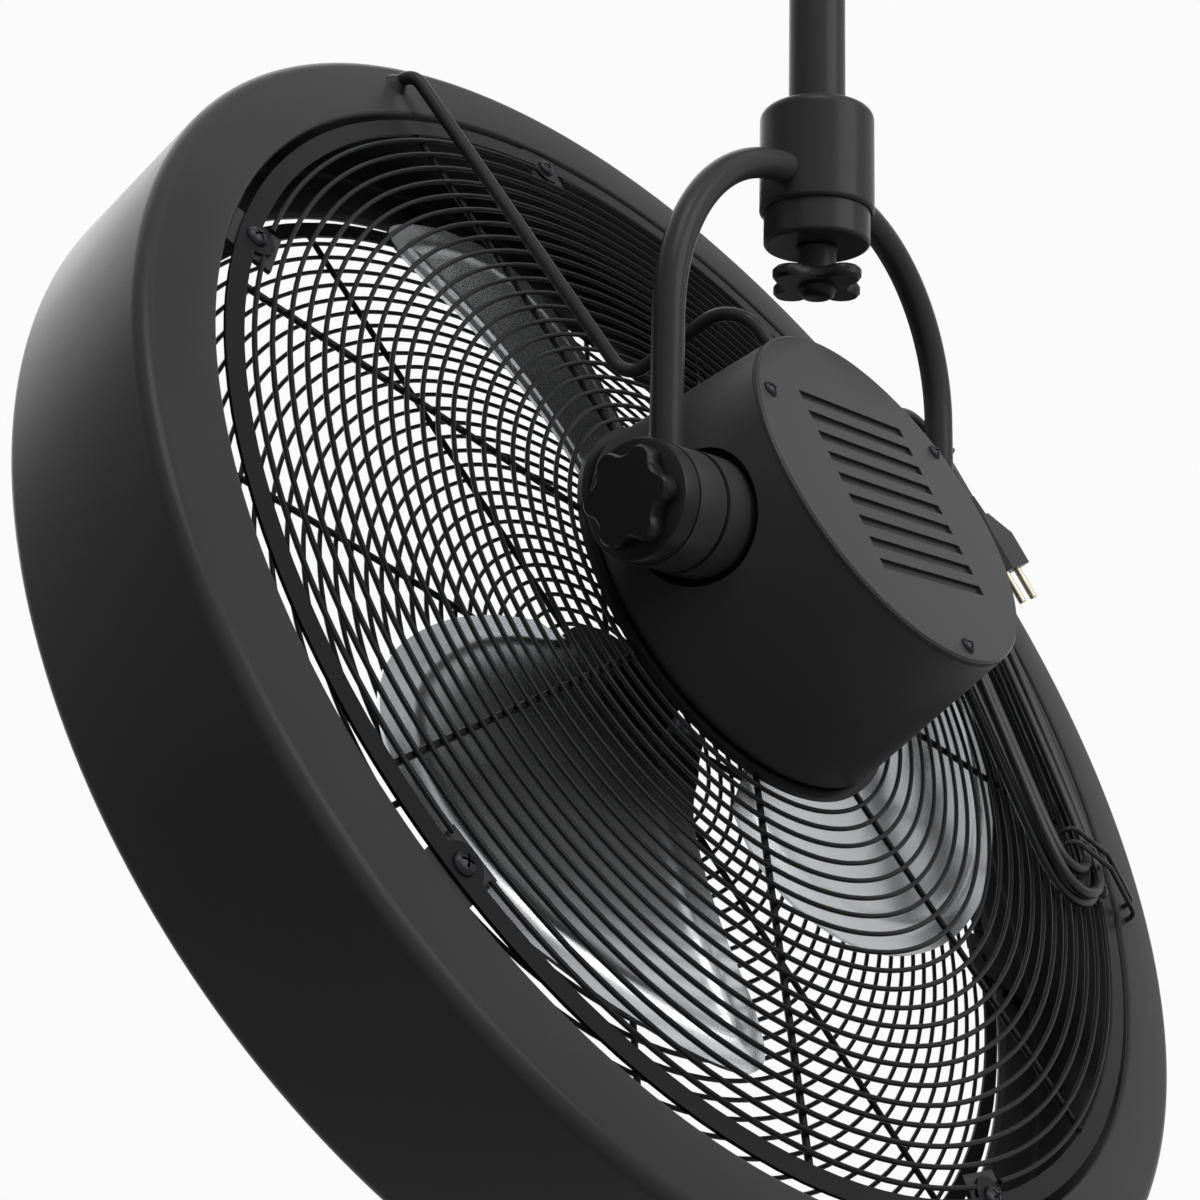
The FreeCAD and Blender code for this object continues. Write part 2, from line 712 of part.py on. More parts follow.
tabs("rear_tabs", d.tab_top, d.tab_top)
tabs("front_tabs", d.front_tab_bottom + d.tab_thickness, d.drum_front + d.drum_wall + d.weld_gap)


# Grilles: a flat band with screw ears, rings of wire welded on spokes
def band(label, bottom):
    ring = Part.makeCylinder(d.band_outer, d.band_thickness, Vector(0, 0, bottom))
    ring = ring.cut(Part.makeCylinder(d.band_inner, d.band_thickness, Vector(0, 0, bottom)))
    for angle in fixing_angles:
        place = polar(d.fixing_circle_radius, angle, bottom)
        ear = Part.makeCylinder(d.ear_radius, d.band_thickness, place)
        outside = Part.makeCylinder(d.drum_radius, d.band_thickness, Vector(0, 0, bottom))
        ear = ear.cut(outside.cut(Part.makeCylinder(d.band_outer, d.band_thickness, Vector(0, 0, bottom))))
        ring = ring.fuse(ear)
    for angle in fixing_angles:
        hole_start = polar(d.fixing_circle_radius, angle, bottom - d.cut_overrun)
        ring = ring.cut(Part.makeCylinder(d.fixing_screw_radius + d.part_gap,
                                          d.band_thickness + 2 * d.cut_overrun, hole_start))
    solid_group(label, [ring.removeSplitter()], HEAD)


# The ring wire's section has ten flats, which keeps the many rings light
WIRE_FLATS = 10


def ring_pieces(radius, plane):
    """One closed ring, or a ring broken at the screw ears where it would run through them."""
    corners = []
    for flat in range(WIRE_FLATS + 1):
        angle = 2 * math.pi * (flat + 0.5) / WIRE_FLATS
        corners.append(Vector(radius + d.ring_wire * math.cos(angle), 0,
                              plane + d.ring_wire * math.sin(angle)))
    section = Part.Face(Part.makePolygon(corners))
    ear_reach = d.fixing_circle_radius - d.ear_radius - d.ring_wire - d.part_gap
    if radius < ear_reach:
        return [section.revolve(Vector(), UP, 360)]
    half_break = math.degrees((d.ear_radius + d.cut_overrun) / radius)
    arc = section.revolve(Vector(), UP, 360.0 / d.fixing_count - 2 * half_break)
    return [at(arc, Placement(Vector(), Rotation(UP, angle + half_break))) for angle in fixing_angles]


def rings(label, last, step, count, plane):
    pieces = []
    for row in range(int(count)):
        pieces += ring_pieces(last - row * step, plane)
    solid_group(label, pieces, HEAD)


def spokes(label, plane, inner, outer):
    rod = Part.makeCylinder(d.spoke_wire, outer - inner, Vector(inner, 0, plane), OUT)
    solid_group(label, [at(rod, Placement(Vector(), Rotation(UP, angle)))
                        for angle in even_angles(d.spoke_count, d.spoke_angle)], HEAD)


def grille_screws(label, seat, facing):
    screw = pan_screw(d.fixing_head_radius, d.fixing_head_height, d.fixing_screw_radius, d.fixing_length)
    solid_group(label, [at(screw, Placement(polar(d.fixing_circle_radius, angle, seat), Rotation(UP, facing)))
                        for angle in fixing_angles], HEAD)


band("rear_grille_band", d.rear_band_top - d.band_thickness)
rings("rear_grille_rings", d.rear_ring_last, d.rear_ring_step, d.rear_ring_count, d.ring_plane)
spokes("rear_grille_spokes", d.rear_spoke_plane, d.mount_plate_radius - d.tab_inset,
       d.band_inner - d.part_gap)
grille_screws("rear_grille_screws", d.rear_band_top + d.weld_gap, UP)
turned("motor_mount_plate", tube_corners("housing_shaft_hole", "mount_plate_radius", "mount_plate_bottom",
                                         "mount_plate_bottom + mount_plate_thickness"), HEAD)

band("front_grille_band", d.front_band_bottom)
rings("front_grille_rings", d.front_ring_last, d.front_ring_step, d.front_ring_count, d.front_ring_plane)
spokes("front_grille_spokes", d.front_spoke_plane, d.front_cap_radius - d.tab_inset,
       d.band_outer - d.part_gap)
grille_screws("front_grille_screws", d.front_band_bottom - d.weld_gap, -UP)
keep("front_grille_cap", cylinder("front_grille_cap", "front_cap_radius", "front_cap_thickness", Vector()),
     HEAD.multiply(Placement(Vector(0, 0, d.front_spoke_plane + d.spoke_wire + d.weld_gap), Rotation())))

# Motor housing: tapered cup, with side holes for the pivots and posts for the plate screws
def housing_radius(height):
    return d.housing_rear_radius + d.housing_slope * (d.housing_rear - height)


plate_angles = even_angles(d.plate_screw_count, d.plate_screw_angle)
housing_cup = turned_body("housing_cup", [
    ("housing_shaft_hole", "housing_front"),
    ("housing_front_radius", "housing_front"),
    ("housing_rear_radius", "housing_rear"),
    ("housing_rear_radius - housing_wall", "housing_rear"),
    ("housing_front_radius - housing_wall", "housing_front + housing_wall"),
    ("housing_shaft_hole", "housing_front + housing_wall")],
    [("housing_round", d.housing_front_radius, d.housing_front)])
posts = [cylinder(f"plate_post{row}", "post_radius", "plate_screw_length + housing_wall",
                  polar(d.plate_screw_circle, angle, d.housing_rear - d.plate_screw_length - d.housing_wall))
         for row, angle in enumerate(plate_angles)]
cup_with_posts = gathered("cup_with_posts", "Part::MultiFuse", [housing_cup] + posts)
gland_turn = polar(1, d.gland_angle)
gland_wall = housing_radius(-d.gland_depth)
housing_tools = [
    cylinder("pivot_holes", "pivot_hole_radius", "2 * housing_front_radius + 2 * cut_overrun",
             Vector(-d.housing_front_radius - d.cut_overrun, 0, 0), OUT),
    cylinder("gland_hole", "gland_root_radius + weld_gap", "4 * housing_wall",
             polar(gland_wall - 2 * d.housing_wall, d.gland_angle, -d.gland_depth), gland_turn)]
housing_tools += [cylinder(f"post_hole{row}", "plate_screw_radius + weld_gap",
                           "plate_screw_length + cut_overrun",
                           polar(d.plate_screw_circle, angle, d.housing_rear - d.plate_screw_length))
                  for row, angle in enumerate(plate_angles)]
keep("motor_housing", cut("motor_housing_cut", cup_with_posts, housing_tools), HEAD)

# Back plate: a chamfered disc with nine slots, on three screws
plate_disc = doc.addObject("Part::Cylinder", "back_plate_disc")
bind(plate_disc, "Radius", "housing_rear_radius - part_gap")
bind(plate_disc, "Height", "back_plate_thickness")
plate_disc.Placement = Placement(Vector(0, 0, d.plate_seat), Rotation())
doc.recompute()
plate_edge = doc.addObject("Part::Chamfer", "back_plate_edge")
plate_edge.Base = plate_disc
plate_edge.Edges = [(int(edge[4:]), d.back_plate_chamfer, d.back_plate_chamfer) for edge in
                    circle_edges(plate_disc.Shape, d.housing_rear_radius - d.part_gap,
                                 d.plate_seat + d.back_plate_thickness)]
slot_span = (d.slot_count - 1) * d.slot_step
plate_tools = [box(f"slot{row}", "slot_length", "slot_width", "back_plate_thickness + 2 * cut_overrun",
                   Vector(-d.slot_length / 2, row * d.slot_step - slot_span / 2 - d.slot_width / 2,
                          d.plate_seat - d.cut_overrun))
               for row in range(int(d.slot_count))]
plate_tools += [cylinder(f"plate_hole{row}", "plate_screw_radius + part_gap",
                         "back_plate_thickness + 2 * cut_overrun",
                         polar(d.plate_screw_circle, angle, d.plate_seat - d.cut_overrun))
                for row, angle in enumerate(plate_angles)]
keep("back_plate", cut("back_plate_cut", plate_edge, plate_tools), HEAD)

plate_top = d.plate_seat + d.back_plate_thickness + d.weld_gap
plate_screw = pan_screw(2 * d.plate_screw_radius, 1.3 * d.plate_screw_radius,
                        d.plate_screw_radius, d.plate_screw_length)
solid_group("back_plate_screws", [
    at(plate_screw, Placement(polar(d.plate_screw_circle, angle, plate_top), Rotation()))
    for angle in plate_angles], HEAD)

# Motor: can, end shield, stator with its coils, bearings, capacitor
turned("motor_can", [
    ("shaft_radius + shaft_clear", "can_front"),
    ("can_radius", "can_front"),
    ("can_radius", "can_back"),
    ("can_radius - can_wall", "can_back"),
    ("can_radius - can_wall", "can_front + can_floor"),
    ("bearing_radius + bearing_seat_wall", "can_front + can_floor"),
    ("bearing_radius + bearing_seat_wall", "can_front + can_floor + bearing_width"),
    ("bearing_radius + weld_gap", "can_front + can_floor + bearing_width"),
    ("bearing_radius + weld_gap", "can_front + can_floor"),
    ("shaft_radius + shaft_clear", "can_front + can_floor")], HEAD)
turned("motor_end_shield", [
    ("shaft_radius + shaft_clear", "can_back + weld_gap + shield_thickness"),
    ("can_radius", "can_back + weld_gap + shield_thickness"),
    ("can_radius", "can_back + weld_gap"),
    ("bearing_radius + bearing_seat_wall", "can_back + weld_gap"),
    ("bearing_radius + bearing_seat_wall", "can_back - bearing_width"),
    ("bearing_radius + weld_gap", "can_back - bearing_width"),
    ("bearing_radius + weld_gap", "can_back + weld_gap"),
    ("shaft_radius + shaft_clear", "can_back + weld_gap")], HEAD)
turned("stator_core", tube_corners("stator_bore", "can_radius - can_wall - weld_gap",
                                   "stator_front", "stator_back"), HEAD)


def coil_ring(low):
    ring = Part.makeCylinder(d.coil_outer, d.coil_length, Vector(0, 0, low))
    ring = ring.cut(Part.makeCylinder(d.coil_inner, d.coil_length, Vector(0, 0, low)))
    return ring.makeFillet(d.coil_length / 3, [edge for edge in ring.Edges if edge.BoundBox.ZLength < 1e-6])


solid_group("stator_coils", [coil_ring(d.stator_front - d.coil_length - d.weld_gap),
                             coil_ring(d.stator_back + d.weld_gap)], HEAD)


def bearing(low):
    ring = Part.makeCylinder(d.bearing_radius, d.bearing_width - d.weld_gap, Vector(0, 0, low))
    return ring.cut(Part.makeCylinder(d.shaft_radius + d.running_fit, d.bearing_width, Vector(0, 0, low)))


solid_group("motor_bearings", [bearing(d.can_front + d.can_floor + d.weld_gap),
                               bearing(d.can_back - d.bearing_width)], HEAD)
capacitor = box("run_capacitor", "capacitor_length", "capacitor_width", "capacitor_height", Vector())
keep("run_capacitor", capacitor,
     HEAD.multiply(Placement(Vector(-d.capacitor_length / 2, d.capacitor_offset,
                                    d.can_back + d.shield_thickness + 2 * d.weld_gap), Rotation())))

# Rotor: shaft, core, hub spider, blades and nut
keep("motor_shaft", cylinder("motor_shaft", "shaft_radius", "can_back + shaft_front", Vector()),
     HEAD.multiply(Placement(Vector(0, 0, -d.shaft_front), Rotation())))
turned("rotor_core", tube_corners("shaft_radius + weld_gap", "stator_bore - air_gap",
                                  "stator_front", "stator_back"), HEAD)

# Blade outline on the blade's own axes: out along the blade, and across it towards the rear edge
BLADE_OUTLINE = [(50, -56), (66, -70), (88, -81), (114, -87), (141, -88), (168, -82), (195, -67), (216, -44),
                 (230, -14), (235, 20), (230, 55), (220, 88), (208, 111), (195, 116), (178, 103), (160, 82),
                 (138, 62), (112, 45), (84, 36), (58, 30)]
BLADE_DRAWN_TIP = 236


def pitch_slab(start, stop, half_width, low, thickness):
    """A twisted plate about the radial line, steeper at the root than at the tip."""
    sections = []
    for out in (start, stop):
        share = out / d.blade_tip_radius
        pitch = d.blade_root_pitch + share * (d.blade_tip_pitch - d.blade_root_pitch)
        corners = [Vector(out, -half_width, low), Vector(out, half_width, low),
                   Vector(out, half_width, low + thickness), Vector(out, -half_width, low + thickness)]
        section = Part.makePolygon(corners + corners[:1])
        section.rotate(Vector(), OUT, pitch)
        sections.append(section)
    slab = Part.makeLoft(sections, True, True)
    slab.translate(Vector(0, 0, -d.blade_plane))
    return slab


def blade_solid():
    scale = d.blade_tip_radius / BLADE_DRAWN_TIP
    points = [Vector(out * scale, across * scale, -2 * d.blade_plane) for out, across in BLADE_OUTLINE]
    curve = Part.BSplineCurve()
    curve.interpolate(points, PeriodicFlag=True)
    plan = Part.Face(Part.Wire(curve.toShape())).extrude(UP * 2 * d.blade_plane)
    slab = pitch_slab(d.shaft_radius, d.drum_radius, d.drum_radius, -d.blade_thickness / 2,
                      d.blade_thickness)
    return plan.common(slab)


blade_angles = even_angles(d.blade_count, d.blade_angle)
blade = blade_solid()
for row, angle in enumerate(blade_angles, start=1):
    solid_group(f"blade_{row}", [at(blade, Placement(Vector(), Rotation(UP, angle)))], HEAD)

hub_low = -d.blade_plane - d.hub_length / 2
hub = Part.makeCylinder(d.hub_radius, d.hub_length, Vector(0, 0, hub_low))
spider_low = d.blade_thickness / 2 + d.weld_gap
spider_arm = pitch_slab(d.shaft_radius, d.spider_reach, d.spider_width / 2, spider_low, d.spider_thickness)
for angle in blade_angles:
    hub = hub.fuse(at(spider_arm, Placement(Vector(), Rotation(UP, angle))))
hub = hub.cut(Part.makeCylinder(d.shaft_radius + d.weld_gap, 2 * d.hub_length,
                                Vector(0, 0, hub_low - d.hub_length / 2)))
solid_group("hub_spider", [hub.removeSplitter()], HEAD)

hexagon = Part.makePolygon([polar(d.nut_radius, 60 * side, hub_low - d.weld_gap) for side in range(7)])
nut = Part.Face(hexagon).extrude(-UP * d.nut_height)
nut = nut.cut(Part.makeCylinder(d.shaft_radius + d.weld_gap, 3 * d.nut_height,
                                Vector(0, 0, hub_low - 2 * d.nut_height)))
solid_group("hub_nut", [nut], HEAD)

# Aiming rod: one bent rod from the rim's rear face to the motor housing
rim_face = -d.rim_offset + d.weld_gap
rod_end = housing_radius(d.rod_top) + d.rod_wire * d.housing_slope + d.weld_gap
rod_points = [
    polar(d.rod_foot_radius, d.rod_angle, rim_face),
    polar(d.rod_foot_radius, d.rod_angle, -d.rim_offset + d.rod_foot_rise),
    polar(d.rod_knee_radius, d.rod_angle, -d.rim_offset + d.rod_knee_rise),
    polar(d.rod_knee_radius - d.rod_wire, d.rod_angle, d.rod_top),
    polar(rod_end, d.rod_angle, d.rod_top)]
aiming_rod = bent_rod(rod_points, d.rod_wire, [d.rod_foot_bend, d.rod_knee_bend, d.rod_top_bend])
flare = Part.makeCone(d.rod_flare, 0.9 * d.rod_wire, d.rod_flare_height, rod_points[0], UP)
solid_group("aiming_rod", [aiming_rod.fuse(flare)], HEAD)

# The hank lies on its own slope: X across its runs, Y along them from its lower bends, Z through its layers
HANK_PLACE = Placement(Vector(-d.hank_offset, d.hank_foot, d.hank_low), Rotation(OUT, -d.hank_tilt))
HANK = HEAD.multiply(HANK_PLACE)

# Cord hooks: hairpins of wire that slope from the rim over the hank's two ends
over_cord = d.cord_radius + d.hook_wire + 2 * d.part_gap


def cord_hook(label, degrees, tip, drop):
    foot = polar(d.hook_foot_radius, degrees, rim_face)
    reach = Vector(tip.x - foot.x, tip.y - foot.y, 0).normalize()
    aside = UP.cross(reach) * d.hook_spread
    legs = [foot, foot + UP * d.hook_stand, tip - reach * d.hook_knee, tip, tip - UP * drop]
    points = [leg + aside for leg in legs] + [leg - aside for leg in reversed(legs)]
    tight = 0.9 * d.hook_spread
    bends = [d.hook_bend] * 3 + [tight] * 2 + [d.hook_bend] * 3
    solid_group(label, [bent_rod(points, d.hook_wire, bends)], HEAD)


lower_end = HANK_PLACE.multVec(Vector(0, 0, d.hank_step)) + UP * over_cord
upper_end = HANK_PLACE.multVec(Vector(0, -d.hank_run, d.hank_high)) + UP * over_cord
upper_end.z += d.plug_bend * math.sin(math.radians(d.hank_tilt))
cord_hook("cord_hook_lower", d.hook_low_angle, lower_end, d.hook_low_drop)
cord_hook("cord_hook_upper", d.hook_high_angle, upper_end, d.hook_high_drop)

# Gland: flanged and tapered strain relief in the housing's side
gland_profile = [
    ("weld_gap", "-2 * housing_wall"),
    ("gland_root_radius", "-2 * housing_wall"),
    ("gland_root_radius", "gland_seat"),
    ("gland_flange_radius", "gland_seat"),
    ("gland_flange_radius", "gland_seat + gland_flange"),
    ("gland_root_radius", "gland_seat + gland_flange"),
    ("gland_tip_radius", "gland_seat + gland_flange + gland_length"),
    ("weld_gap", "gland_seat + gland_flange + gland_length")]
gland_place = Placement(polar(gland_wall, d.gland_angle, -d.gland_depth), Rotation(UP, gland_turn))
turned("cord_gland", gland_profile, HEAD.multiply(gland_place))

# Rows of the hank's runs, counted out from its tightest bend, by the motor and by the rim
MOTOR_ROWS = (2, 1, 0, 0, 1)
RIM_ROWS = (2, 1, 0, 1)
CLIMBING_ROW = 2
LEAD_CORNER_SHARE = 0.77


def hank_row(row):
    return d.hank_bend + row * d.hank_step


# Supply lead: from the gland's tip to the hank's outer row
gland_end = gland_wall + d.gland_seat + d.gland_flange + d.gland_length
gland_tip = polar(gland_end + d.weld_gap, d.gland_angle, -d.gland_depth)
hank_start = HANK_PLACE.multVec(Vector(hank_row(MOTOR_ROWS[0]), -d.hank_run, 0))
before_hank = HANK_PLACE.multVec(Vector(hank_row(MOTOR_ROWS[0]), -d.hank_run + d.lead_in, 0))
lead_reach = (hank_start.x - gland_tip.x) / gland_turn.x
lead_corner = gland_tip + gland_turn * (LEAD_CORNER_SHARE * lead_reach)
cord_tube("supply_lead", [gland_tip, lead_corner, before_hank, hank_start])


# Hank: one unbroken tube wound inwards round the two hooks, up one layer, and outwards again
def hank_bend(start, stop, along, height):
    """A half turn at one end of the hank."""
    outward = 1 if along == 0 else -1
    crown = along + outward * abs(stop - start) / 2
    return Part.Arc(Vector(start, along, height), Vector((start + stop) / 2, crown, height),
                    Vector(stop, along, height)).toShape()


def hank_run(across, begin, end, low, high):
    """A run between the bends, level, or climbing on two long arcs."""
    if low == high:
        return [Part.LineSegment(Vector(across, begin, low), Vector(across, end, low)).toShape()]
    half = (end - begin) / 2
    climb = (high - low) / 2
    turn = math.atan2(climb, abs(half))
    radius = abs(half) / math.sin(2 * turn)
    shift = math.copysign(radius * math.sin(turn), half)
    sagitta = radius * (1 - math.cos(turn))
    middle = Vector(across, begin + half, low + climb)
    first = Part.Arc(Vector(across, begin, low), Vector(across, begin + shift, low + sagitta), middle)
    second = Part.Arc(middle, Vector(across, end - shift, high - sagitta), Vector(across, end, high))
    return [first.toShape(), second.toShape()]


def on_last_bend(turn):
    """A point of the bend that leaves the hank for the plug."""
    centre = Vector(hank_row(MOTOR_ROWS[-1]) - d.plug_bend, -d.hank_run, d.hank_high)
    return centre + Vector(math.cos(turn), -math.sin(turn), 0) * d.plug_bend


def hank_path():
    edges = []
    level = 0
    upper = -d.hank_run
    for turn, (row, rim_row, next_row) in enumerate(zip(MOTOR_ROWS, RIM_ROWS, MOTOR_ROWS[1:])):
        rim_side = -hank_row(rim_row)
        motor_side = hank_row(next_row)
        edges.append(hank_bend(hank_row(row), rim_side, upper, level))
        after_rim = d.hank_step if turn == CLIMBING_ROW else level
        edges += hank_run(rim_side, upper, 0, level, after_rim)
        edges.append(hank_bend(rim_side, motor_side, 0, after_rim))
        level = d.hank_high if turn == len(RIM_ROWS) - 1 else after_rim
        edges += hank_run(motor_side, 0, upper, after_rim, level)
    turn = math.pi - math.radians(d.plug_turn)
    edges.append(Part.Arc(on_last_bend(0), on_last_bend(turn / 2), on_last_bend(turn)).toShape())
    return Part.Wire(edges)


def least_gap(path, wire_radius, spacing, skip):
    """The least clear distance between stretches of the tube that aren't neighbours along it."""
    points = path.discretize(Distance=spacing)
    least = None
    for row, point in enumerate(points):
        for other in points[row + skip:]:
            apart = point.distanceToPoint(other) - 2 * wire_radius
            if least is None or apart < least:
                least = apart
    return least


hank_line = hank_path()
hank = swept(hank_line, d.cord_radius)
print("cord_hank length", round(hank_line.Length, 1), "least gap",
      round(least_gap(hank_line, d.cord_radius, 4.0, 20), 2),
      "volume ratio", round(hank.Volume / (math.pi * d.cord_radius ** 2 * hank_line.Length), 4))
solid_group("cord_hank", [hank], HANK)

# Plug lead: from the hank's last bend into the plug, along the plug's own Y axis
hank_end = on_last_bend(math.pi - math.radians(d.plug_turn))
PLUG = HANK.multiply(Placement(hank_end, Rotation(UP, d.plug_turn)))
plug_rear = Vector(0, d.plug_lead_length, 0)
plug_lead = Part.makeCylinder(d.cord_radius, d.plug_lead_length, Vector(), Vector(0, 1, 0))
solid_group("plug_lead", [plug_lead], PLUG)

# Plug: flat tapered body with a strain relief, and two round pins
body_rear = plug_rear + Vector(0, d.plug_relief, 0)
pin_face = body_rear + Vector(0, d.plug_length, 0)


def plug_section(place, width, thickness):
    half_w = width / 2
    half_t = thickness / 2
    nib = half_t / 2
    corners = [Vector(half_w, 0, -half_t + nib), Vector(half_w, 0, half_t - nib),
               Vector(half_w - nib, 0, half_t), Vector(nib - half_w, 0, half_t),
               Vector(-half_w, 0, half_t - nib), Vector(-half_w, 0, nib - half_t),
               Vector(nib - half_w, 0, -half_t), Vector(half_w - nib, 0, -half_t)]
    corners = [place + corner for corner in corners]
    return Part.makePolygon(corners + corners[:1])


plug_shell = Part.makeLoft([
    plug_section(body_rear, 3 * d.plug_relief_radius, 2 * d.plug_relief_radius),
    plug_section(body_rear + Vector(0, 0.45 * d.plug_length, 0), d.plug_width, d.plug_thickness),
    plug_section(pin_face, d.plug_width, d.plug_thickness)], True, True)
relief = Part.makeCone(d.cord_radius + d.plug_relief_lip, d.plug_relief_radius, d.plug_relief + d.cut_overrun,
                       plug_rear + Vector(0, d.weld_gap, 0), Vector(0, 1, 0))
solid_group("plug_body", [plug_shell.fuse(relief)], PLUG)
pins = []
for side in (1, -1):
    foot = pin_face + Vector(side * d.plug_pin_spacing / 2, d.weld_gap, 0)
    pin = Part.makeCylinder(d.plug_pin_radius, d.plug_pin_length, foot, Vector(0, 1, 0))
    tip = [edge for edge in pin.Edges if edge.BoundBox.YMin > foot.y + d.plug_pin_length - 1e-6]
    pins.append(pin.makeFillet(0.45 * d.plug_pin_radius, tip))
solid_group("plug_pins", pins, PLUG)

# Every object and every piece is checked before anything is written
doc.recompute()
for item in doc.Objects:
    if "Invalid" in item.State or "Error" in item.State:
        raise RuntimeError(f"{item.Name} did not compute: {item.State}")
for label, item in nodes.items():
    if item.Shape.isNull() or not item.Shape.isValid() or not item.Shape.Solids:
        raise RuntimeError(f"{label} has no valid solid")

os.makedirs("parts", exist_ok=True)
for label, item in nodes.items():
    item.Shape.exportStep(f"parts/{label}.step")
print(len(nodes), "pieces written")
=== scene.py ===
import json
import math

import bmesh
import bpy
from mathutils import Matrix, Vector
from mathutils.kdtree import KDTree


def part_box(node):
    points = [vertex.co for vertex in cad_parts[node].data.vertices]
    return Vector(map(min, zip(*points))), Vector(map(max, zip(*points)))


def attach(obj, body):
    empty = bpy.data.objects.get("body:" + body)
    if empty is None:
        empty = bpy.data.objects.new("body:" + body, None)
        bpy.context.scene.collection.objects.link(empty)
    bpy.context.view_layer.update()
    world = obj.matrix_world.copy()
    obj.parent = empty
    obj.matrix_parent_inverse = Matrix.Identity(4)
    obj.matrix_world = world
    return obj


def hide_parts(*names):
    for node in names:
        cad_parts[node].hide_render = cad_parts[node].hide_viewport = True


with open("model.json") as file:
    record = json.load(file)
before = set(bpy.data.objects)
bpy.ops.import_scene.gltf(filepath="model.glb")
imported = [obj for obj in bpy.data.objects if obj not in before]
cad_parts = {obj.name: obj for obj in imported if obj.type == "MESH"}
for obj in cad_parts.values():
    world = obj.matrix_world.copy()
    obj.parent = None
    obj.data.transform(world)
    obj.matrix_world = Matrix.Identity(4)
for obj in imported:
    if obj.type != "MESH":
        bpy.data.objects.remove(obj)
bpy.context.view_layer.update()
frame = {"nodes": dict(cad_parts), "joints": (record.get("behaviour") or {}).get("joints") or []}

# Camera: the photograph looks up at the fan's motor side from about a metre away.
# Its place is measured from the tilt axis, and the picture is 1200 pixels square.
joints = {joint["name"]: joint for joint in frame["joints"]}
tilt_centre = Vector(joints["tilt"]["pos_m"])
PICTURE_SIDE = 1200
LENS_PIXELS = 1918.0
PICTURE_MIDDLE = (700.0, 480.0)
SENSOR_MM = 36.0
CAMERA_OFFSET = Vector((0.7062, 0.4699, -0.1593))
camera_right = Vector((-0.60197, 0.79839, 0.01456)).normalized()
camera_ahead = Vector((-0.77706, -0.58989, 0.21955)).normalized()
camera_up = camera_right.cross(camera_ahead)
camera_data = bpy.data.cameras.new("photo_camera")
camera_data.sensor_width = SENSOR_MM
camera_data.lens = LENS_PIXELS / PICTURE_SIDE * SENSOR_MM
camera_data.shift_x = 0.5 - PICTURE_MIDDLE[0] / PICTURE_SIDE
camera_data.shift_y = PICTURE_MIDDLE[1] / PICTURE_SIDE - 0.5
camera_data.clip_start = 0.01
camera = bpy.data.objects.new("photo_camera", camera_data)
camera_turn = Matrix((camera_right, camera_up, -camera_ahead)).transposed().to_4x4()
camera.matrix_world = Matrix.Translation(tilt_centre + CAMERA_OFFSET) @ camera_turn
bpy.context.scene.collection.objects.link(camera)
bpy.context.scene.camera = camera
bpy.context.scene.view_settings.view_transform = "Standard"


# Room: a plain pale floor below the fan and a near-white surround, lit by large soft lamps.
# Floor and surround are pale to the eye and in reflections, and dimmer as a light,
# so the floor still takes the fan's shadow.
def linear(hex_text):
    channels = []
    for start in (1, 3, 5):
        value = int(hex_text[start:start + 2], 16) / 255
        channels.append(value / 12.92 if value <= 0.04045 else ((value + 0.055) / 1.055) ** 2.4)
    return (*channels, 1.0)


def add_node(tree, kind, settings=None, inputs=None):
    node = tree.nodes.new(kind)
    for name, value in (settings or {}).items():
        setattr(node, name, value)
    for name, value in (inputs or {}).items():
        if isinstance(value, bpy.types.NodeSocket):
            tree.links.new(value, node.inputs[name])
        else:
            node.inputs[name].default_value = value
    return node


def seen_plainly(tree):
    """One for what the eye sees straight, mirrored or through glass, and nought for other light."""
    ray = add_node(tree, "ShaderNodeLightPath")
    straight = add_node(tree, "ShaderNodeMath", {"operation": "MAXIMUM"},
                        {0: ray.outputs["Is Camera Ray"], 1: ray.outputs["Is Transmission Ray"]})
    mirrored = add_node(tree, "ShaderNodeMath", {"operation": "MAXIMUM"},
                        {0: straight.outputs[0], 1: ray.outputs["Is Glossy Ray"]})
    return mirrored.outputs[0]


SURROUND = "#FBFBFB"
SURROUND_AS_LIGHT = 0.12
world = bpy.data.worlds.new("studio_surround")
bpy.context.scene.world = world
world.use_nodes = True
world_tree = world.node_tree
world_tree.nodes.clear()
surround_level = add_node(world_tree, "ShaderNodeMapRange", None,
                          {"Value": seen_plainly(world_tree), "To Min": SURROUND_AS_LIGHT, "To Max": 1.0})
surround = add_node(world_tree, "ShaderNodeBackground", None,
                    {"Color": linear(SURROUND), "Strength": surround_level.outputs[0]})
add_node(world_tree, "ShaderNodeOutputWorld", None, {"Surface": surround.outputs[0]})

FLOOR_LEVEL = -2.4
FLOOR_COLOUR = "#F4F4F4"
FLOOR_GLOW = 0.7
FLOOR_HALF = 6.0
floor_mesh = bpy.data.meshes.new("floor")
floor_corners = [(x * FLOOR_HALF, y * FLOOR_HALF, FLOOR_LEVEL)
                 for x, y in ((-1, -1), (1, -1), (1, 1), (-1, 1))]
floor_mesh.from_pydata(floor_corners, [], [(0, 1, 2, 3)])
floor = bpy.data.objects.new("floor", floor_mesh)
bpy.context.scene.collection.objects.link(floor)
floor_paint = bpy.data.materials.new("pale_floor_paint")
floor_paint.use_nodes = True
floor_tree = floor_paint.node_tree
floor_tree.nodes.clear()
floor_glow = add_node(floor_tree, "ShaderNodeMapRange", None,
                      {"Value": seen_plainly(floor_tree), "To Min": 0.0, "To Max": FLOOR_GLOW})
floor_skin = add_node(floor_tree, "ShaderNodeBsdfPrincipled", None,
                      {"Base Color": linear(FLOOR_COLOUR), "Roughness": 0.8,
                       "Emission Color": linear(FLOOR_COLOUR), "Emission Strength": floor_glow.outputs[0]})
add_node(floor_tree, "ShaderNodeOutputMaterial", None, {"Surface": floor_skin.outputs[0]})
floor_mesh.materials.append(floor_paint)


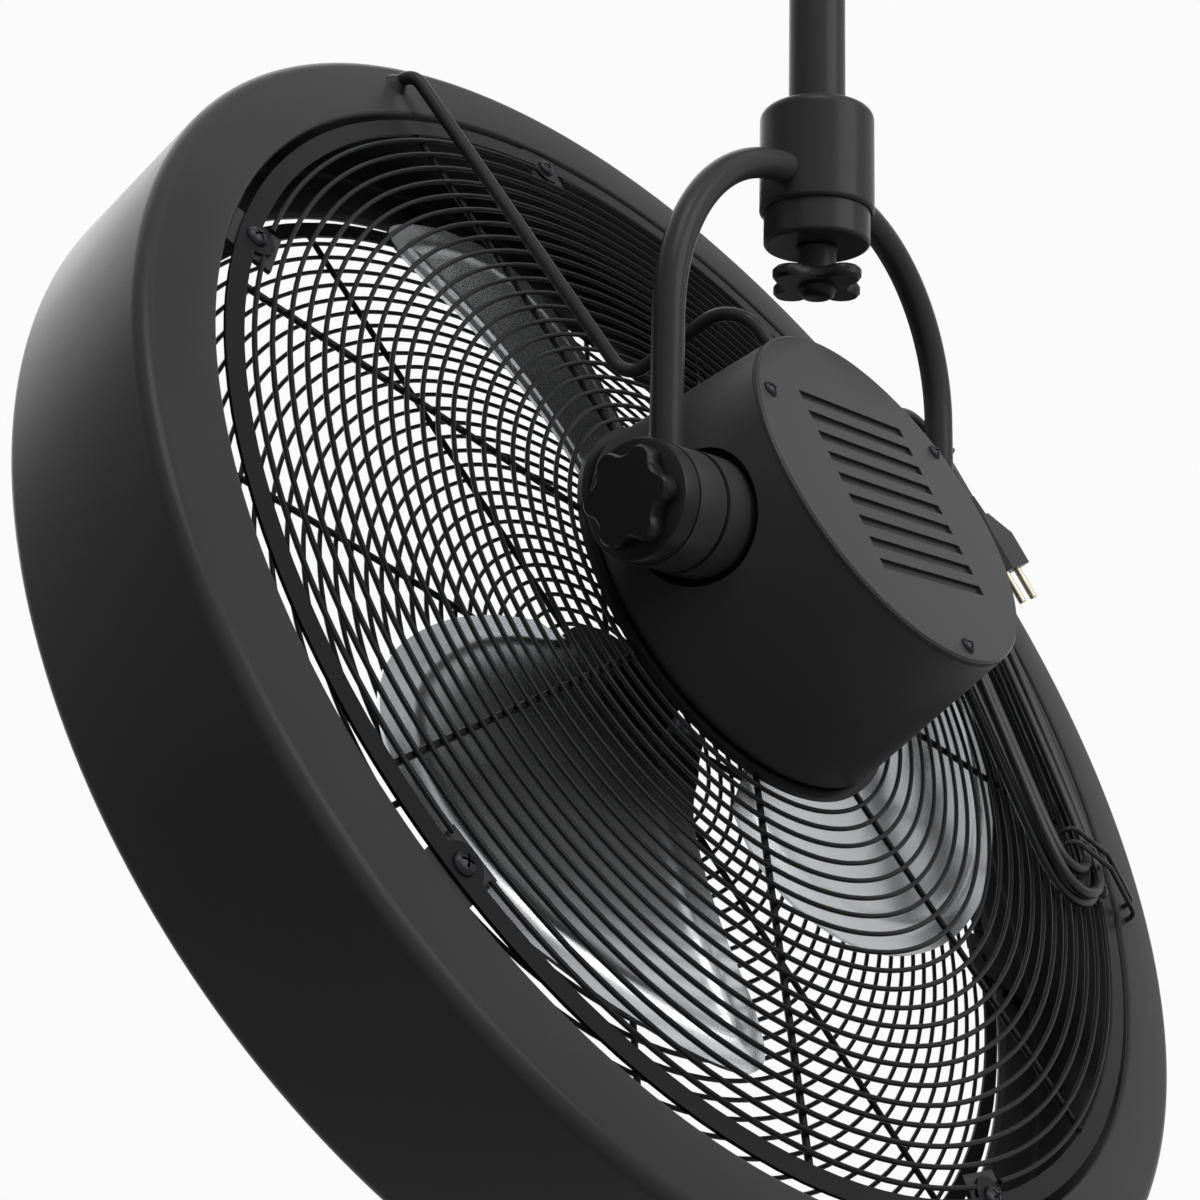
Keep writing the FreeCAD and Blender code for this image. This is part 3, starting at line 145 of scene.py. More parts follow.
def soft_lamp(name, offset, size, watts):
    data = bpy.data.lights.new(name, "AREA")
    data.shape = "RECTANGLE"
    data.size, data.size_y = size
    data.energy = watts
    lamp = bpy.data.objects.new(name, data)
    lamp.location = tilt_centre + Vector(offset)
    lamp.rotation_mode = "QUATERNION"
    lamp.rotation_quaternion = (-Vector(offset)).to_track_quat("-Z", "Y")
    bpy.context.scene.collection.objects.link(lamp)


soft_lamp("front_softbox", (-0.32, -1.68, 1.22), (2.4, 2.4), 17)
soft_lamp("rear_softbox", (-0.2, 1.75, 1.05), (1.4, 1.4), 36)
soft_lamp("top_softbox", (0.82, 0.67, 1.79), (1.0, 1.0), 22)


# Ceiling mount: pressed canopy over a bolted plate, a socket and the downrod held in it by a cross pin.
# All are mild steel, sprayed matte black and baked.
def mesh_piece(name, mesh, body, slot, *stands_for):
    piece = bpy.data.objects.new(name, mesh)
    bpy.context.scene.collection.objects.link(piece)
    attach(piece, body)
    if stands_for:
        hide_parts(*stands_for)
    return piece


def dress(material, *node_names):
    for name in node_names:
        node = frame["nodes"][name]
        for socket in node.material_slots:
            socket.material = material


MM = 0.001

# Powder coat on steel: baked polyester, a soft sheen with a faint orange-peel skin.
# The peel is about 2 mm across, and the sheen drifts a little over a hand's width.
COAT_SHINE = 0.05
COAT_DRIFT_MM = 90
PEEL_HEIGHT_MM = 0.2


def powder_coat(name, colour, sheen, peel_mm, peel_depth):
    material = bpy.data.materials.new(name)
    material.use_nodes = True
    tree = material.node_tree
    shader = tree.nodes["Principled BSDF"]
    shader.inputs["IOR"].default_value = 1.5
    shader.inputs["Specular IOR Level"].default_value = COAT_SHINE
    place = add_node(tree, "ShaderNodeTexCoord")
    drift = add_node(tree, "ShaderNodeTexNoise", None,
                     {"Vector": place.outputs["Object"], "Scale": 1 / (COAT_DRIFT_MM * MM), "Detail": 3.0})
    tone = add_node(tree, "ShaderNodeValToRGB", None, {"Fac": drift.outputs["Fac"]})
    tone.color_ramp.elements[0].color = linear(colour[0])
    tone.color_ramp.elements[1].color = linear(colour[1])
    tree.links.new(tone.outputs["Color"], shader.inputs["Base Color"])
    gloss = add_node(tree, "ShaderNodeMapRange", None,
                     {"Value": drift.outputs["Fac"], "From Min": 0.3, "From Max": 0.7,
                      "To Min": sheen[0], "To Max": sheen[1]})
    tree.links.new(gloss.outputs["Result"], shader.inputs["Roughness"])
    peel = add_node(tree, "ShaderNodeTexNoise", None,
                    {"Vector": place.outputs["Object"], "Scale": 1 / (peel_mm * MM), "Detail": 2.0})
    skin = add_node(tree, "ShaderNodeBump", None,
                    {"Height": peel.outputs["Fac"], "Strength": peel_depth, "Distance": PEEL_HEIGHT_MM * MM})
    tree.links.new(skin.outputs["Normal"], shader.inputs["Normal"])
    return material


steel_coat = powder_coat("powder_coated_steel", ("#313132", "#373738"), (0.22, 0.3), 2.2, 0.05)
dress(steel_coat, "ceiling_plate", "rod_socket", "downrod", "canopy")


# Zinc-plated steel: bright where hidden from the paint, with a fine turned grain.
def plated_steel(name, colour, roughness, grain_mm):
    material = bpy.data.materials.new(name)
    material.use_nodes = True
    tree = material.node_tree
    shader = tree.nodes["Principled BSDF"]
    shader.inputs["Base Color"].default_value = linear(colour)
    shader.inputs["Metallic"].default_value = 1.0
    place = add_node(tree, "ShaderNodeTexCoord")
    grain = add_node(tree, "ShaderNodeTexNoise", None,
                     {"Vector": place.outputs["Object"], "Scale": 1 / (grain_mm * MM), "Detail": 4.0})
    polish = add_node(tree, "ShaderNodeMapRange", None,
                      {"Value": grain.outputs["Fac"], "To Min": roughness[0], "To Max": roughness[1]})
    tree.links.new(polish.outputs["Result"], shader.inputs["Roughness"])
    return material


bright_steel = plated_steel("zinc_plated_steel", "#B4B5B8", (0.22, 0.42), 3.0)
dress(bright_steel, "rod_pin", "rod_collar")
blackened_steel = plated_steel("blackened_screw_steel", "#28282A", (0.34, 0.5), 2.0)
dress(blackened_steel, "canopy_screws")

# Swivel: a turned sleeve that hangs on the rod's collar by an acetal bushing, and a cap below it.
# The sleeve and the cap are turned steel with rounded rims, coated like the rod.
dress(steel_coat, "swivel_sleeve", "lower_cap")


# Moulded plastic: glass-filled nylon or acetal, matte from a spark-eroded mould.
# The spark grain is about half a millimetre, drawn at 1 mm so that it shows.
def moulded_plastic(name, colour, sheen, grain_mm):
    material = bpy.data.materials.new(name)
    material.use_nodes = True
    tree = material.node_tree
    shader = tree.nodes["Principled BSDF"]
    shader.inputs["Base Color"].default_value = linear(colour)
    shader.inputs["IOR"].default_value = 1.53
    shader.inputs["Specular IOR Level"].default_value = 0.12
    place = add_node(tree, "ShaderNodeTexCoord")
    spark = add_node(tree, "ShaderNodeTexNoise", None,
                     {"Vector": place.outputs["Object"], "Scale": 1 / (grain_mm * MM), "Detail": 3.0})
    gloss = add_node(tree, "ShaderNodeMapRange", None,
                     {"Value": spark.outputs["Fac"], "To Min": sheen[0], "To Max": sheen[1]})
    tree.links.new(gloss.outputs["Result"], shader.inputs["Roughness"])
    grit = add_node(tree, "ShaderNodeBump", None,
                    {"Height": spark.outputs["Fac"], "Strength": 0.2, "Distance": 0.1 * MM})
    tree.links.new(grit.outputs["Normal"], shader.inputs["Normal"])
    return material


acetal = moulded_plastic("acetal", "#CFCBC0", (0.35, 0.5), 1.0)
dress(acetal, "swivel_bushing")

# Yoke: two bent steel tubes welded to the sleeve, each with a pivot disc at its end.
# The tube is 14 mm across, coated in one go with the sleeve.
dress(steel_coat, "yoke_arm_left", "yoke_arm_right", "yoke_end_left", "yoke_end_right",
      "pivot_boss_left", "pivot_boss_right")

# Knobs: six-lobed star knobs on the tilt studs and a four-winged knob under the cap.
# They are moulded in black glass-filled nylon over a steel stud, with soft edges.
black_nylon = moulded_plastic("glass_filled_nylon", "#161617", (0.36, 0.46), 1.0)
dress(bright_steel, "wing_stud", "tilt_stud_left", "tilt_stud_right")
ARC_STEPS = 14


def lobed_outline(lobes, outer, waist, turn):
    """Points round a star of even arcs, swelling out to one radius and drawn in to another."""
    middle = (outer + waist) / 2
    half = math.pi / 2 / lobes
    along = middle * math.cos(half)
    aside = middle * math.sin(half)
    points = []
    for arc in range(2 * lobes):
        crown = outer if arc % 2 == 0 else waist
        rise = crown - along
        radius = (rise * rise + aside * aside) / (2 * rise)
        centre = crown - radius
        sweep = math.atan2(aside, math.copysign(1, radius) * (along - centre))
        facing = turn + math.pi * arc / lobes
        for step in range(ARC_STEPS):
            angle = sweep * (2 * step / ARC_STEPS - 1)
            if radius < 0:
                angle = -angle
            x = centre + radius * math.cos(angle)
            y = radius * math.sin(angle)
            points.append((x * math.cos(facing) - y * math.sin(facing),
                           x * math.sin(facing) + y * math.cos(facing)))
    return points


def stacked_mesh(name, layers):
    """Outlines with equal counts of points, skinned from the first to the last and closed at both ends."""
    shape = bmesh.new()
    rings = [[shape.verts.new((x, y, height)) for x, y in outline] for outline, height in layers]
    count = len(rings[0])
    for low, high in zip(rings, rings[1:]):
        for step in range(count):
            after = (step + 1) % count
            shape.faces.new((low[step], low[after], high[after], high[step]))
    shape.faces.new(list(reversed(rings[0])))
    shape.faces.new(rings[-1])
    return finished_mesh(name, shape, 30)


def star_plate(name, lobes, outer, waist, turn, low, high, edge):
    """A star-shaped plate whose two faces have bevelled edges."""
    layers = []
    for inset, height in ((edge, low), (0, low + edge), (0, high - edge), (edge, high)):
        layers.append((lobed_outline(lobes, outer - inset, waist - inset, turn), height))
    return stacked_mesh(name, layers)


def round_stack(name, profile, steps=96):
    """A turned form from (radius, height) pairs."""
    layers = []
    for radius, height in profile:
        angles = [2 * math.pi * step / steps for step in range(steps)]
        layers.append(([(radius * math.cos(angle), radius * math.sin(angle)) for angle in angles], height))
    return stacked_mesh(name, layers)


def rounded(mesh, sharp_degrees):
    """Smooth shading, broken at sharp edges and round flat end faces."""
    mesh.polygons.foreach_set("use_smooth", [len(face.vertices) < 5 for face in mesh.polygons])
    mesh.set_sharp_from_angle(angle=math.radians(sharp_degrees))
    return mesh


def joined(name, *meshes):
    """Several meshes of one finish as one mesh."""
    shape = bmesh.new()
    for mesh in meshes:
        shape.from_mesh(mesh)
    whole = bpy.data.meshes.new(name)
    shape.to_mesh(whole)
    shape.free()
    for material in meshes[0].materials:
        whole.materials.append(material)
    return rounded(whole, 40)


def finished_mesh(name, shape, sharp_degrees=40):
    bmesh.ops.recalc_face_normals(shape, faces=shape.faces)
    mesh = bpy.data.meshes.new(name)
    shape.to_mesh(mesh)
    shape.free()
    return rounded(mesh, sharp_degrees)


def with_material(mesh, material):
    mesh.materials.clear()
    mesh.materials.append(material)
    return mesh


STAR_LOBES = 6
STAR_RADIUS = 21.5
STAR_WAIST = 16.8
STAR_TURN = math.radians(35)
STAR_FLANGE = 9.5
STAR_EDGE = 1.1
for side, turn in (("left", 1), ("right", -1)):
    low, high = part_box(f"tilt_knob_{side}")
    start = (low.x if turn > 0 else -high.x) / MM
    stop = start + (high.x - low.x) / MM
    flange_radius = (high.z - low.z) / 2 / MM
    rim = start + STAR_FLANGE
    disc = round_stack("knob_disc", [(flange_radius - 0.6, start), (flange_radius, start + 0.6),
                                     (flange_radius, rim - 1.4), (flange_radius - 0.4, rim - 0.4),
                                     (flange_radius - 1.4, rim)])
    star = star_plate("knob_star", STAR_LOBES, STAR_RADIUS, STAR_WAIST, STAR_TURN, rim - 1, stop, STAR_EDGE)
    mesh = joined(f"star_knob_{side}", disc, star)
    mesh.transform(Matrix.Translation(tilt_centre) @ Matrix.Rotation(turn * math.pi / 2, 4, "Y")
                   @ Matrix.Scale(MM, 4))
    mesh_piece(f"star_knob_{side}", with_material(mesh, black_nylon), f"tilt_knob_{side}", "black_plastic",
               f"tilt_knob_{side}")

WING_COUNT = 4
WING_RADIUS = 25.5
WING_WAIST = 15.5
WING_TURN = math.radians(79)
WING_LEVEL = 122.8
WING_PLATE = 6.2
WING_EDGE = 1.6
NECK_RADIUS = 9.0
WING_BOSS = 9.0
low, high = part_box("wing_knob")
wing_low = (low.z - tilt_centre.z) / MM
wing_high = (high.z - tilt_centre.z) / MM
wings = star_plate("wings", WING_COUNT, WING_RADIUS, WING_WAIST, WING_TURN,
                   WING_LEVEL, WING_LEVEL + WING_PLATE, WING_EDGE)
neck = round_stack("wing_neck", [(2.0, wing_low), (0.7 * WING_BOSS, wing_low + 0.5),
                                 (0.9 * WING_BOSS, wing_low + 1.8), (WING_BOSS, wing_low + 4.2),
                                 (WING_BOSS, WING_LEVEL + 2),
                                 (NECK_RADIUS, WING_LEVEL + 3), (NECK_RADIUS, wing_high - 3),
                                 (NECK_RADIUS + 0.5, wing_high - 1.6), (NECK_RADIUS + 0.4, wing_high - 0.4),
                                 (NECK_RADIUS - 0.2, wing_high)])
mesh = joined("wing_knob_grip", wings, neck)
mesh.transform(Matrix.Translation(tilt_centre) @ Matrix.Scale(MM, 4))
mesh_piece("wing_knob_grip", with_material(mesh, black_nylon), "wing_knob", "black_plastic", "wing_knob")

# Drum shroud: a rolled steel band, turned in over tight shoulders to a flat rear face and a front flange.
# Both openings end in a rolled bead, and the drum is coated inside and out.
fan_axis = Vector(joints["rotor_spin"]["axis"]).normalized()
across = Vector((1, 0, 0))
downhill = fan_axis.cross(across)
head_mm = (Matrix.Translation(tilt_centre) @ Matrix((across, downhill, fan_axis)).transposed().to_4x4()
           @ Matrix.Scale(MM, 4))


def lathe(name, profile, steps=192, sharp_degrees=40):
    """A closed profile of (radius, height) points spun about the fan axis, in millimetres."""
    shape = bmesh.new()
    rings = []
    for radius, height in profile:
        rings.append([shape.verts.new((radius * math.cos(2 * math.pi * step / steps),
                                       radius * math.sin(2 * math.pi * step / steps), height))
                      for step in range(steps)])
    for row, ring in enumerate(rings):
        other = rings[(row + 1) % len(rings)]
        for step in range(steps):
            after = (step + 1) % steps
            shape.faces.new((ring[step], ring[after], other[after], other[step]))
    return finished_mesh(name, shape, sharp_degrees)


def corner(centre, radius, first, last, steps=8):
    """Points along a round corner, angles in degrees."""
    points = []
    for step in range(steps + 1):
        angle = math.radians(first + (last - first) * step / steps)
        points.append((centre[0] + radius * math.cos(angle), centre[1] + radius * math.sin(angle)))
    return points


DRUM_RADIUS = 320.0
DRUM_WALL = 2.0
RIM = -49.2
DRUM_FRONT = -134.2
RIM_OPENING = 287.0
SHOULDER = 6.0
REAR_BEAD = 1.7
FRONT_BEAD = 2.6
inner_shoulder = SHOULDER - DRUM_WALL
drum_profile = (
    corner((RIM_OPENING + REAR_BEAD, RIM - REAR_BEAD), REAR_BEAD, 330, 90, 10)
    + corner((DRUM_RADIUS - SHOULDER, RIM - SHOULDER), SHOULDER, 90, 0, 10)
    + corner((DRUM_RADIUS - SHOULDER, DRUM_FRONT + SHOULDER), SHOULDER, 0, -90, 10)
    + corner((RIM_OPENING + FRONT_BEAD, DRUM_FRONT + FRONT_BEAD), FRONT_BEAD, 270, 20, 12)
    + [(RIM_OPENING + 2 * FRONT_BEAD + 0.2, DRUM_FRONT + DRUM_WALL)]
    + corner((DRUM_RADIUS - SHOULDER, DRUM_FRONT + SHOULDER), inner_shoulder, -90, 0, 8)
    + corner((DRUM_RADIUS - SHOULDER, RIM - SHOULDER), inner_shoulder, 0, 90, 8)
    + [(RIM_OPENING + 2 * REAR_BEAD, RIM - DRUM_WALL)])
mesh = lathe("drum_shell", drum_profile, 256)
mesh.transform(head_mm)
mesh_piece("drum_shell", with_material(mesh, steel_coat), "head", "black_paint", "drum_shroud")
dress(steel_coat, "rear_tabs", "front_tabs")


# Grille rings: drawn steel wire in closed rings, the outer ones broken where the screw ears stand.
# The wire is 2.2 mm, spot-welded to the spokes and dip-coated with them.
def node_group(name, numbers, counts=()):
    tree = bpy.data.node_groups.new(name, "GeometryNodeTree")
    for label in numbers:
        tree.interface.new_socket(label, in_out="INPUT", socket_type="NodeSocketFloat")
    for label in counts:
        tree.interface.new_socket(label, in_out="INPUT", socket_type="NodeSocketInt")
    tree.interface.new_socket("Finish", in_out="INPUT", socket_type="NodeSocketMaterial")
    tree.interface.new_socket("Geometry", in_out="OUTPUT", socket_type="NodeSocketGeometry")
    return tree, tree.nodes.new("NodeGroupInput").outputs


def grown_mesh(tree, values):
    carrier = bpy.data.objects.new(tree.name, bpy.data.meshes.new(tree.name))
    bpy.context.scene.collection.objects.link(carrier)
    modifier = carrier.modifiers.new("grow", "NODES")
    modifier.node_group = tree
    for item in tree.interface.items_tree:
        if item.in_out == "INPUT" and item.name in values:
            modifier[item.identifier] = values[item.name]
    mesh = bpy.data.meshes.new_from_object(carrier.evaluated_get(bpy.context.evaluated_depsgraph_get()))
    bpy.data.objects.remove(carrier)
    return mesh


def end_tree(tree, geometry, finish):
    """Close a tree with smooth shading, real geometry and its finish."""
    smooth = add_node(tree, "GeometryNodeSetShadeSmooth", None, {"Geometry": geometry})
    real = add_node(tree, "GeometryNodeRealizeInstances", None, {"Geometry": smooth.outputs[0]})
    painted = add_node(tree, "GeometryNodeSetMaterial", None,
                       {"Geometry": real.outputs[0], "Material": finish})
    add_node(tree, "NodeGroupOutput", None, {"Geometry": painted.outputs[0]})


ring_tree, sizes = node_group("closed_wire_rings", ("Outer", "Step", "Wire", "Height"), ("Rings",))
row = add_node(ring_tree, "GeometryNodeInputIndex")
inset = add_node(ring_tree, "ShaderNodeMath", {"operation": "MULTIPLY"},
                 {0: row.outputs[0], 1: sizes["Step"]})
reach = add_node(ring_tree, "ShaderNodeMath", {"operation": "SUBTRACT"},
                 {0: sizes["Outer"], 1: inset.outputs[0]})
lift = add_node(ring_tree, "ShaderNodeCombineXYZ", None, {"Z": sizes["Height"]})
spread = add_node(ring_tree, "ShaderNodeCombineXYZ", None,
                  {"X": reach.outputs[0], "Y": reach.outputs[0], "Z": reach.outputs[0]})
seeds = add_node(ring_tree, "GeometryNodePoints", None,
                 {"Count": sizes["Rings"], "Position": lift.outputs[0]})
loop = add_node(ring_tree, "GeometryNodeCurvePrimitiveCircle", None, {"Resolution": 144, "Radius": 1.0})
loops = add_node(ring_tree, "GeometryNodeInstanceOnPoints", None,
                 {"Points": seeds.outputs[0], "Instance": loop.outputs[0], "Scale": spread.outputs[0]})
lines = add_node(ring_tree, "GeometryNodeRealizeInstances", None, {"Geometry": loops.outputs[0]})
section = add_node(ring_tree, "GeometryNodeCurvePrimitiveCircle", None,
                   {"Resolution": 8, "Radius": sizes["Wire"]})
wires = add_node(ring_tree, "GeometryNodeCurveToMesh", None,
                 {"Curve": lines.outputs[0], "Profile Curve": section.outputs[0]})
end_tree(ring_tree, wires.outputs[0], sizes["Finish"])

arc_tree, sizes = node_group("broken_wire_ring", ("Radius", "Wire", "Height", "First", "Break"), ("Breaks",))
share = add_node(arc_tree, "ShaderNodeMath", {"operation": "DIVIDE"},
                 {0: 2 * math.pi, 1: sizes["Breaks"]})
sweep = add_node(arc_tree, "ShaderNodeMath", {"operation": "SUBTRACT"},
                 {0: share.outputs[0], 1: sizes["Break"]})
begin = add_node(arc_tree, "ShaderNodeMath", {"operation": "MULTIPLY_ADD"},
                 {0: sizes["Break"], 1: 0.5, 2: sizes["First"]})
arc = add_node(arc_tree, "GeometryNodeCurveArc", None,
               {"Resolution": 40, "Radius": sizes["Radius"], "Start Angle": begin.outputs[0],
                "Sweep Angle": sweep.outputs[0]})
section = add_node(arc_tree, "GeometryNodeCurvePrimitiveCircle", None,
                   {"Resolution": 8, "Radius": sizes["Wire"]})
wire = add_node(arc_tree, "GeometryNodeCurveToMesh", None,
                {"Curve": arc.outputs[0], "Profile Curve": section.outputs[0], "Fill Caps": True})
row = add_node(arc_tree, "GeometryNodeInputIndex")
turn = add_node(arc_tree, "ShaderNodeMath", {"operation": "MULTIPLY"},
                {0: row.outputs[0], 1: share.outputs[0]})
facing = add_node(arc_tree, "ShaderNodeCombineXYZ", None, {"Z": turn.outputs[0]})
lift = add_node(arc_tree, "ShaderNodeCombineXYZ", None, {"Z": sizes["Height"]})
seeds = add_node(arc_tree, "GeometryNodePoints", None,
                 {"Count": sizes["Breaks"], "Position": lift.outputs[0]})
arcs = add_node(arc_tree, "GeometryNodeInstanceOnPoints", None,
                {"Points": seeds.outputs[0], "Instance": wire.outputs[0], "Rotation": facing.outputs[0]})
end_tree(arc_tree, arcs.outputs[0], sizes["Finish"])


RING_WIRE = 1.1
SCREW_FIRST = math.radians(30)
SCREW_COUNT = 6
SCREW_CIRCLE = 275.5
EAR_RADIUS = 9.0
# The wires, grille bands, mount plate and vent strips take the sheet steel's black paint, drawn darker as
# painted shade.
shaded_wire_coat = powder_coat("dip_coated_wire_painted_shade", ("#171718", "#1C1C1D"), (0.3, 0.38), 3.0, 0.05)
REAR_RING_PLANE = RIM
FRONT_RING_PLANE = -135.4
# Outer ring's radius, step between rings, count of rings, count of broken ones, and the plane they lie in
grilles = {"rear": (270.4, 8.25, 21, 1, REAR_RING_PLANE),
           "front": (274.0, 8.504, 28, 2, FRONT_RING_PLANE)}
for grille, (outer, step, count, broken, plane) in grilles.items():
    meshes = [grown_mesh(ring_tree, {"Outer": outer - broken * step, "Step": step, "Wire": RING_WIRE,
                                     "Height": plane, "Rings": count - broken, "Finish": shaded_wire_coat})]
    for ring in range(broken):
        radius = outer - ring * step
        meshes.append(grown_mesh(arc_tree, {"Radius": radius, "Wire": RING_WIRE, "Height": plane,
                                            "First": SCREW_FIRST, "Break": 2 * (EAR_RADIUS + 1) / radius,
                                            "Breaks": SCREW_COUNT, "Finish": shaded_wire_coat}))
    mesh = joined(f"{grille}_rings", *meshes)
    mesh.transform(head_mm)
    mesh_piece(f"{grille}_rings", mesh, "head", "black_paint", f"{grille}_grille_rings")
dress(shaded_wire_coat, "rear_grille_spokes", "front_grille_spokes", "rear_grille_band", "front_grille_band",
      "front_grille_cap", "motor_mount_plate")

# Screws: pan heads with a cross recess, through the grille ears and the motor's back plate.
# They are blackened steel, each left at its own angle by the driver.
screw_tree, sizes = node_group("pan_screws", ("Circle", "First", "Height", "Head", "Rise", "Facing"),
                               ("Screws",))
dome = add_node(screw_tree, "GeometryNodeMeshUVSphere", None, {"Segments": 24, "Rings": 14, "Radius": 1.0})
dome_scale = add_node(screw_tree, "ShaderNodeCombineXYZ", None,
                      {"X": sizes["Head"], "Y": sizes["Head"], "Z": sizes["Rise"]})
head = add_node(screw_tree, "GeometryNodeTransform", None,
                {"Geometry": dome.outputs[0], "Scale": dome_scale.outputs[0]})
blade_long = add_node(screw_tree, "ShaderNodeMath", {"operation": "MULTIPLY"}, {0: sizes["Head"], 1: 1.15})
blade_wide = add_node(screw_tree, "ShaderNodeMath", {"operation": "MULTIPLY"}, {0: sizes["Head"], 1: 0.2})
slot_size = add_node(screw_tree, "ShaderNodeCombineXYZ", None,
                     {"X": blade_long.outputs[0], "Y": blade_wide.outputs[0], "Z": sizes["Rise"]})
slot_size_across = add_node(screw_tree, "ShaderNodeCombineXYZ", None,
                            {"X": blade_wide.outputs[0], "Y": blade_long.outputs[0], "Z": sizes["Rise"]})
slot_lift = add_node(screw_tree, "ShaderNodeCombineXYZ", None, {"Z": sizes["Rise"]})
recess = []
for size in (slot_size, slot_size_across):
    bar = add_node(screw_tree, "GeometryNodeMeshCube", None, {"Size": size.outputs[0]})
    recess.append(add_node(screw_tree, "GeometryNodeTransform", None,
                           {"Geometry": bar.outputs[0], "Translation": slot_lift.outputs[0]}))
first_cut = add_node(screw_tree, "GeometryNodeMeshBoolean", {"operation": "DIFFERENCE"},
                     {"Mesh 1": head.outputs[0], "Mesh 2": recess[0].outputs[0]})
second_cut = add_node(screw_tree, "GeometryNodeMeshBoolean", {"operation": "DIFFERENCE"},
                      {"Mesh 1": first_cut.outputs[0], "Mesh 2": recess[1].outputs[0]})
row = add_node(screw_tree, "GeometryNodeInputIndex")
share = add_node(screw_tree, "ShaderNodeMath", {"operation": "DIVIDE"}, {0: 2 * math.pi, 1: sizes["Screws"]})
angle = add_node(screw_tree, "ShaderNodeMath", {"operation": "MULTIPLY_ADD"},
                 {0: row.outputs[0], 1: share.outputs[0], 2: sizes["First"]})
cosine = add_node(screw_tree, "ShaderNodeMath", {"operation": "COSINE"}, {0: angle.outputs[0]})
sine = add_node(screw_tree, "ShaderNodeMath", {"operation": "SINE"}, {0: angle.outputs[0]})
x = add_node(screw_tree, "ShaderNodeMath", {"operation": "MULTIPLY"},
             {0: cosine.outputs[0], 1: sizes["Circle"]})
y = add_node(screw_tree, "ShaderNodeMath", {"operation": "MULTIPLY"},
             {0: sine.outputs[0], 1: sizes["Circle"]})
spot = add_node(screw_tree, "ShaderNodeCombineXYZ", None,
                {"X": x.outputs[0], "Y": y.outputs[0], "Z": sizes["Height"]})
seeds = add_node(screw_tree, "GeometryNodePoints", None,
                 {"Count": sizes["Screws"], "Position": spot.outputs[0]})
twist = add_node(screw_tree, "FunctionNodeRandomValue", {"data_type": "FLOAT"},
                 {"Min": 0.0, "Max": 1.57, "Seed": 4})
facing = add_node(screw_tree, "ShaderNodeCombineXYZ", None, {"X": sizes["Facing"], "Z": twist.outputs[1]})
screws = add_node(screw_tree, "GeometryNodeInstanceOnPoints", None,
                  {"Points": seeds.outputs[0], "Instance": second_cut.outputs[0],
                   "Rotation": facing.outputs[0]})
end_tree(screw_tree, screws.outputs[0], sizes["Finish"])

# Circle, first angle, height, head radius, rise of the head, turn of its facing, and count
screw_sets = {
    "rear_grille_screws": (SCREW_CIRCLE, SCREW_FIRST, -49.75, 4.8, 3.0, 0.0, SCREW_COUNT),
    "front_grille_screws": (SCREW_CIRCLE, SCREW_FIRST, -131.2, 4.8, 3.0, math.pi, SCREW_COUNT),
    "back_plate_screws": (78.5, math.radians(90), 45.1, 3.8, 2.5, 0.0, 3)}
for name, (circle, first, height, head_radius, rise, facing_turn, count) in screw_sets.items():
    mesh = grown_mesh(screw_tree, {"Circle": circle, "First": first, "Height": height, "Head": head_radius,
                                   "Rise": rise, "Facing": facing_turn, "Screws": count,
                                   "Finish": blackened_steel})
    mesh.transform(head_mm)
    mesh.set_sharp_from_angle(angle=math.radians(40))
    mesh_piece(f"{name}_heads", mesh, "head", "black_screw_steel", name)

# Motor housing: a die-cast aluminium cup with a slotted back plate, round holes for the pivots.
# It is sprayed like the steel, a little rougher because the casting shows through.
# Dark strips lie close behind the slots as painted shade, standing in for the shade seen down the slots.
cast_coat = powder_coat("coated_aluminium_casting", ("#373738", "#3D3D3E"), (0.3, 0.38), 1.6, 0.08)
dress(cast_coat, "motor_housing", "back_plate")
VENT_COUNT = 9
VENT_STEP = 11.0
VENT_LONG = 83.6
VENT_WIDE = 4.8
VENT_SHADE_FLOOR = 43.4
SHADE_STRIP_THICKNESS = 0.8
vent_tree, sizes = node_group("vent_shade_floors", ("Long", "Wide", "Step", "Height"), ("Vents",))
row = add_node(vent_tree, "GeometryNodeInputIndex")
last = add_node(vent_tree, "ShaderNodeMath", {"operation": "SUBTRACT"}, {0: sizes["Vents"], 1: 1.0})
centred = add_node(vent_tree, "ShaderNodeMath", {"operation": "MULTIPLY_ADD"},
                   {0: last.outputs[0], 1: -0.5, 2: row.outputs[0]})
offset = add_node(vent_tree, "ShaderNodeMath", {"operation": "MULTIPLY"},
                  {0: centred.outputs[0], 1: sizes["Step"]})
spot = add_node(vent_tree, "ShaderNodeCombineXYZ", None, {"Y": offset.outputs[0], "Z": sizes["Height"]})
seeds = add_node(vent_tree, "GeometryNodePoints", None,
                 {"Count": sizes["Vents"], "Position": spot.outputs[0]})
strip_size = add_node(vent_tree, "ShaderNodeCombineXYZ", None,
                      {"X": sizes["Long"], "Y": sizes["Wide"], "Z": SHADE_STRIP_THICKNESS})
strip = add_node(vent_tree, "GeometryNodeMeshCube", None, {"Size": strip_size.outputs[0]})
strips = add_node(vent_tree, "GeometryNodeInstanceOnPoints", None,
                  {"Points": seeds.outputs[0], "Instance": strip.outputs[0]})
end_tree(vent_tree, strips.outputs[0], sizes["Finish"])
# Painted shade: dark strips just below the back plate's top face fill the slots.
mesh = grown_mesh(vent_tree, {"Long": VENT_LONG, "Wide": VENT_WIDE, "Step": VENT_STEP, "Height": VENT_SHADE_FLOOR,
                              "Vents": VENT_COUNT, "Finish": shaded_wire_coat})
mesh.transform(head_mm)
mesh_piece("vent_shade_floors", rounded(mesh, 30), "head", "black_paint")

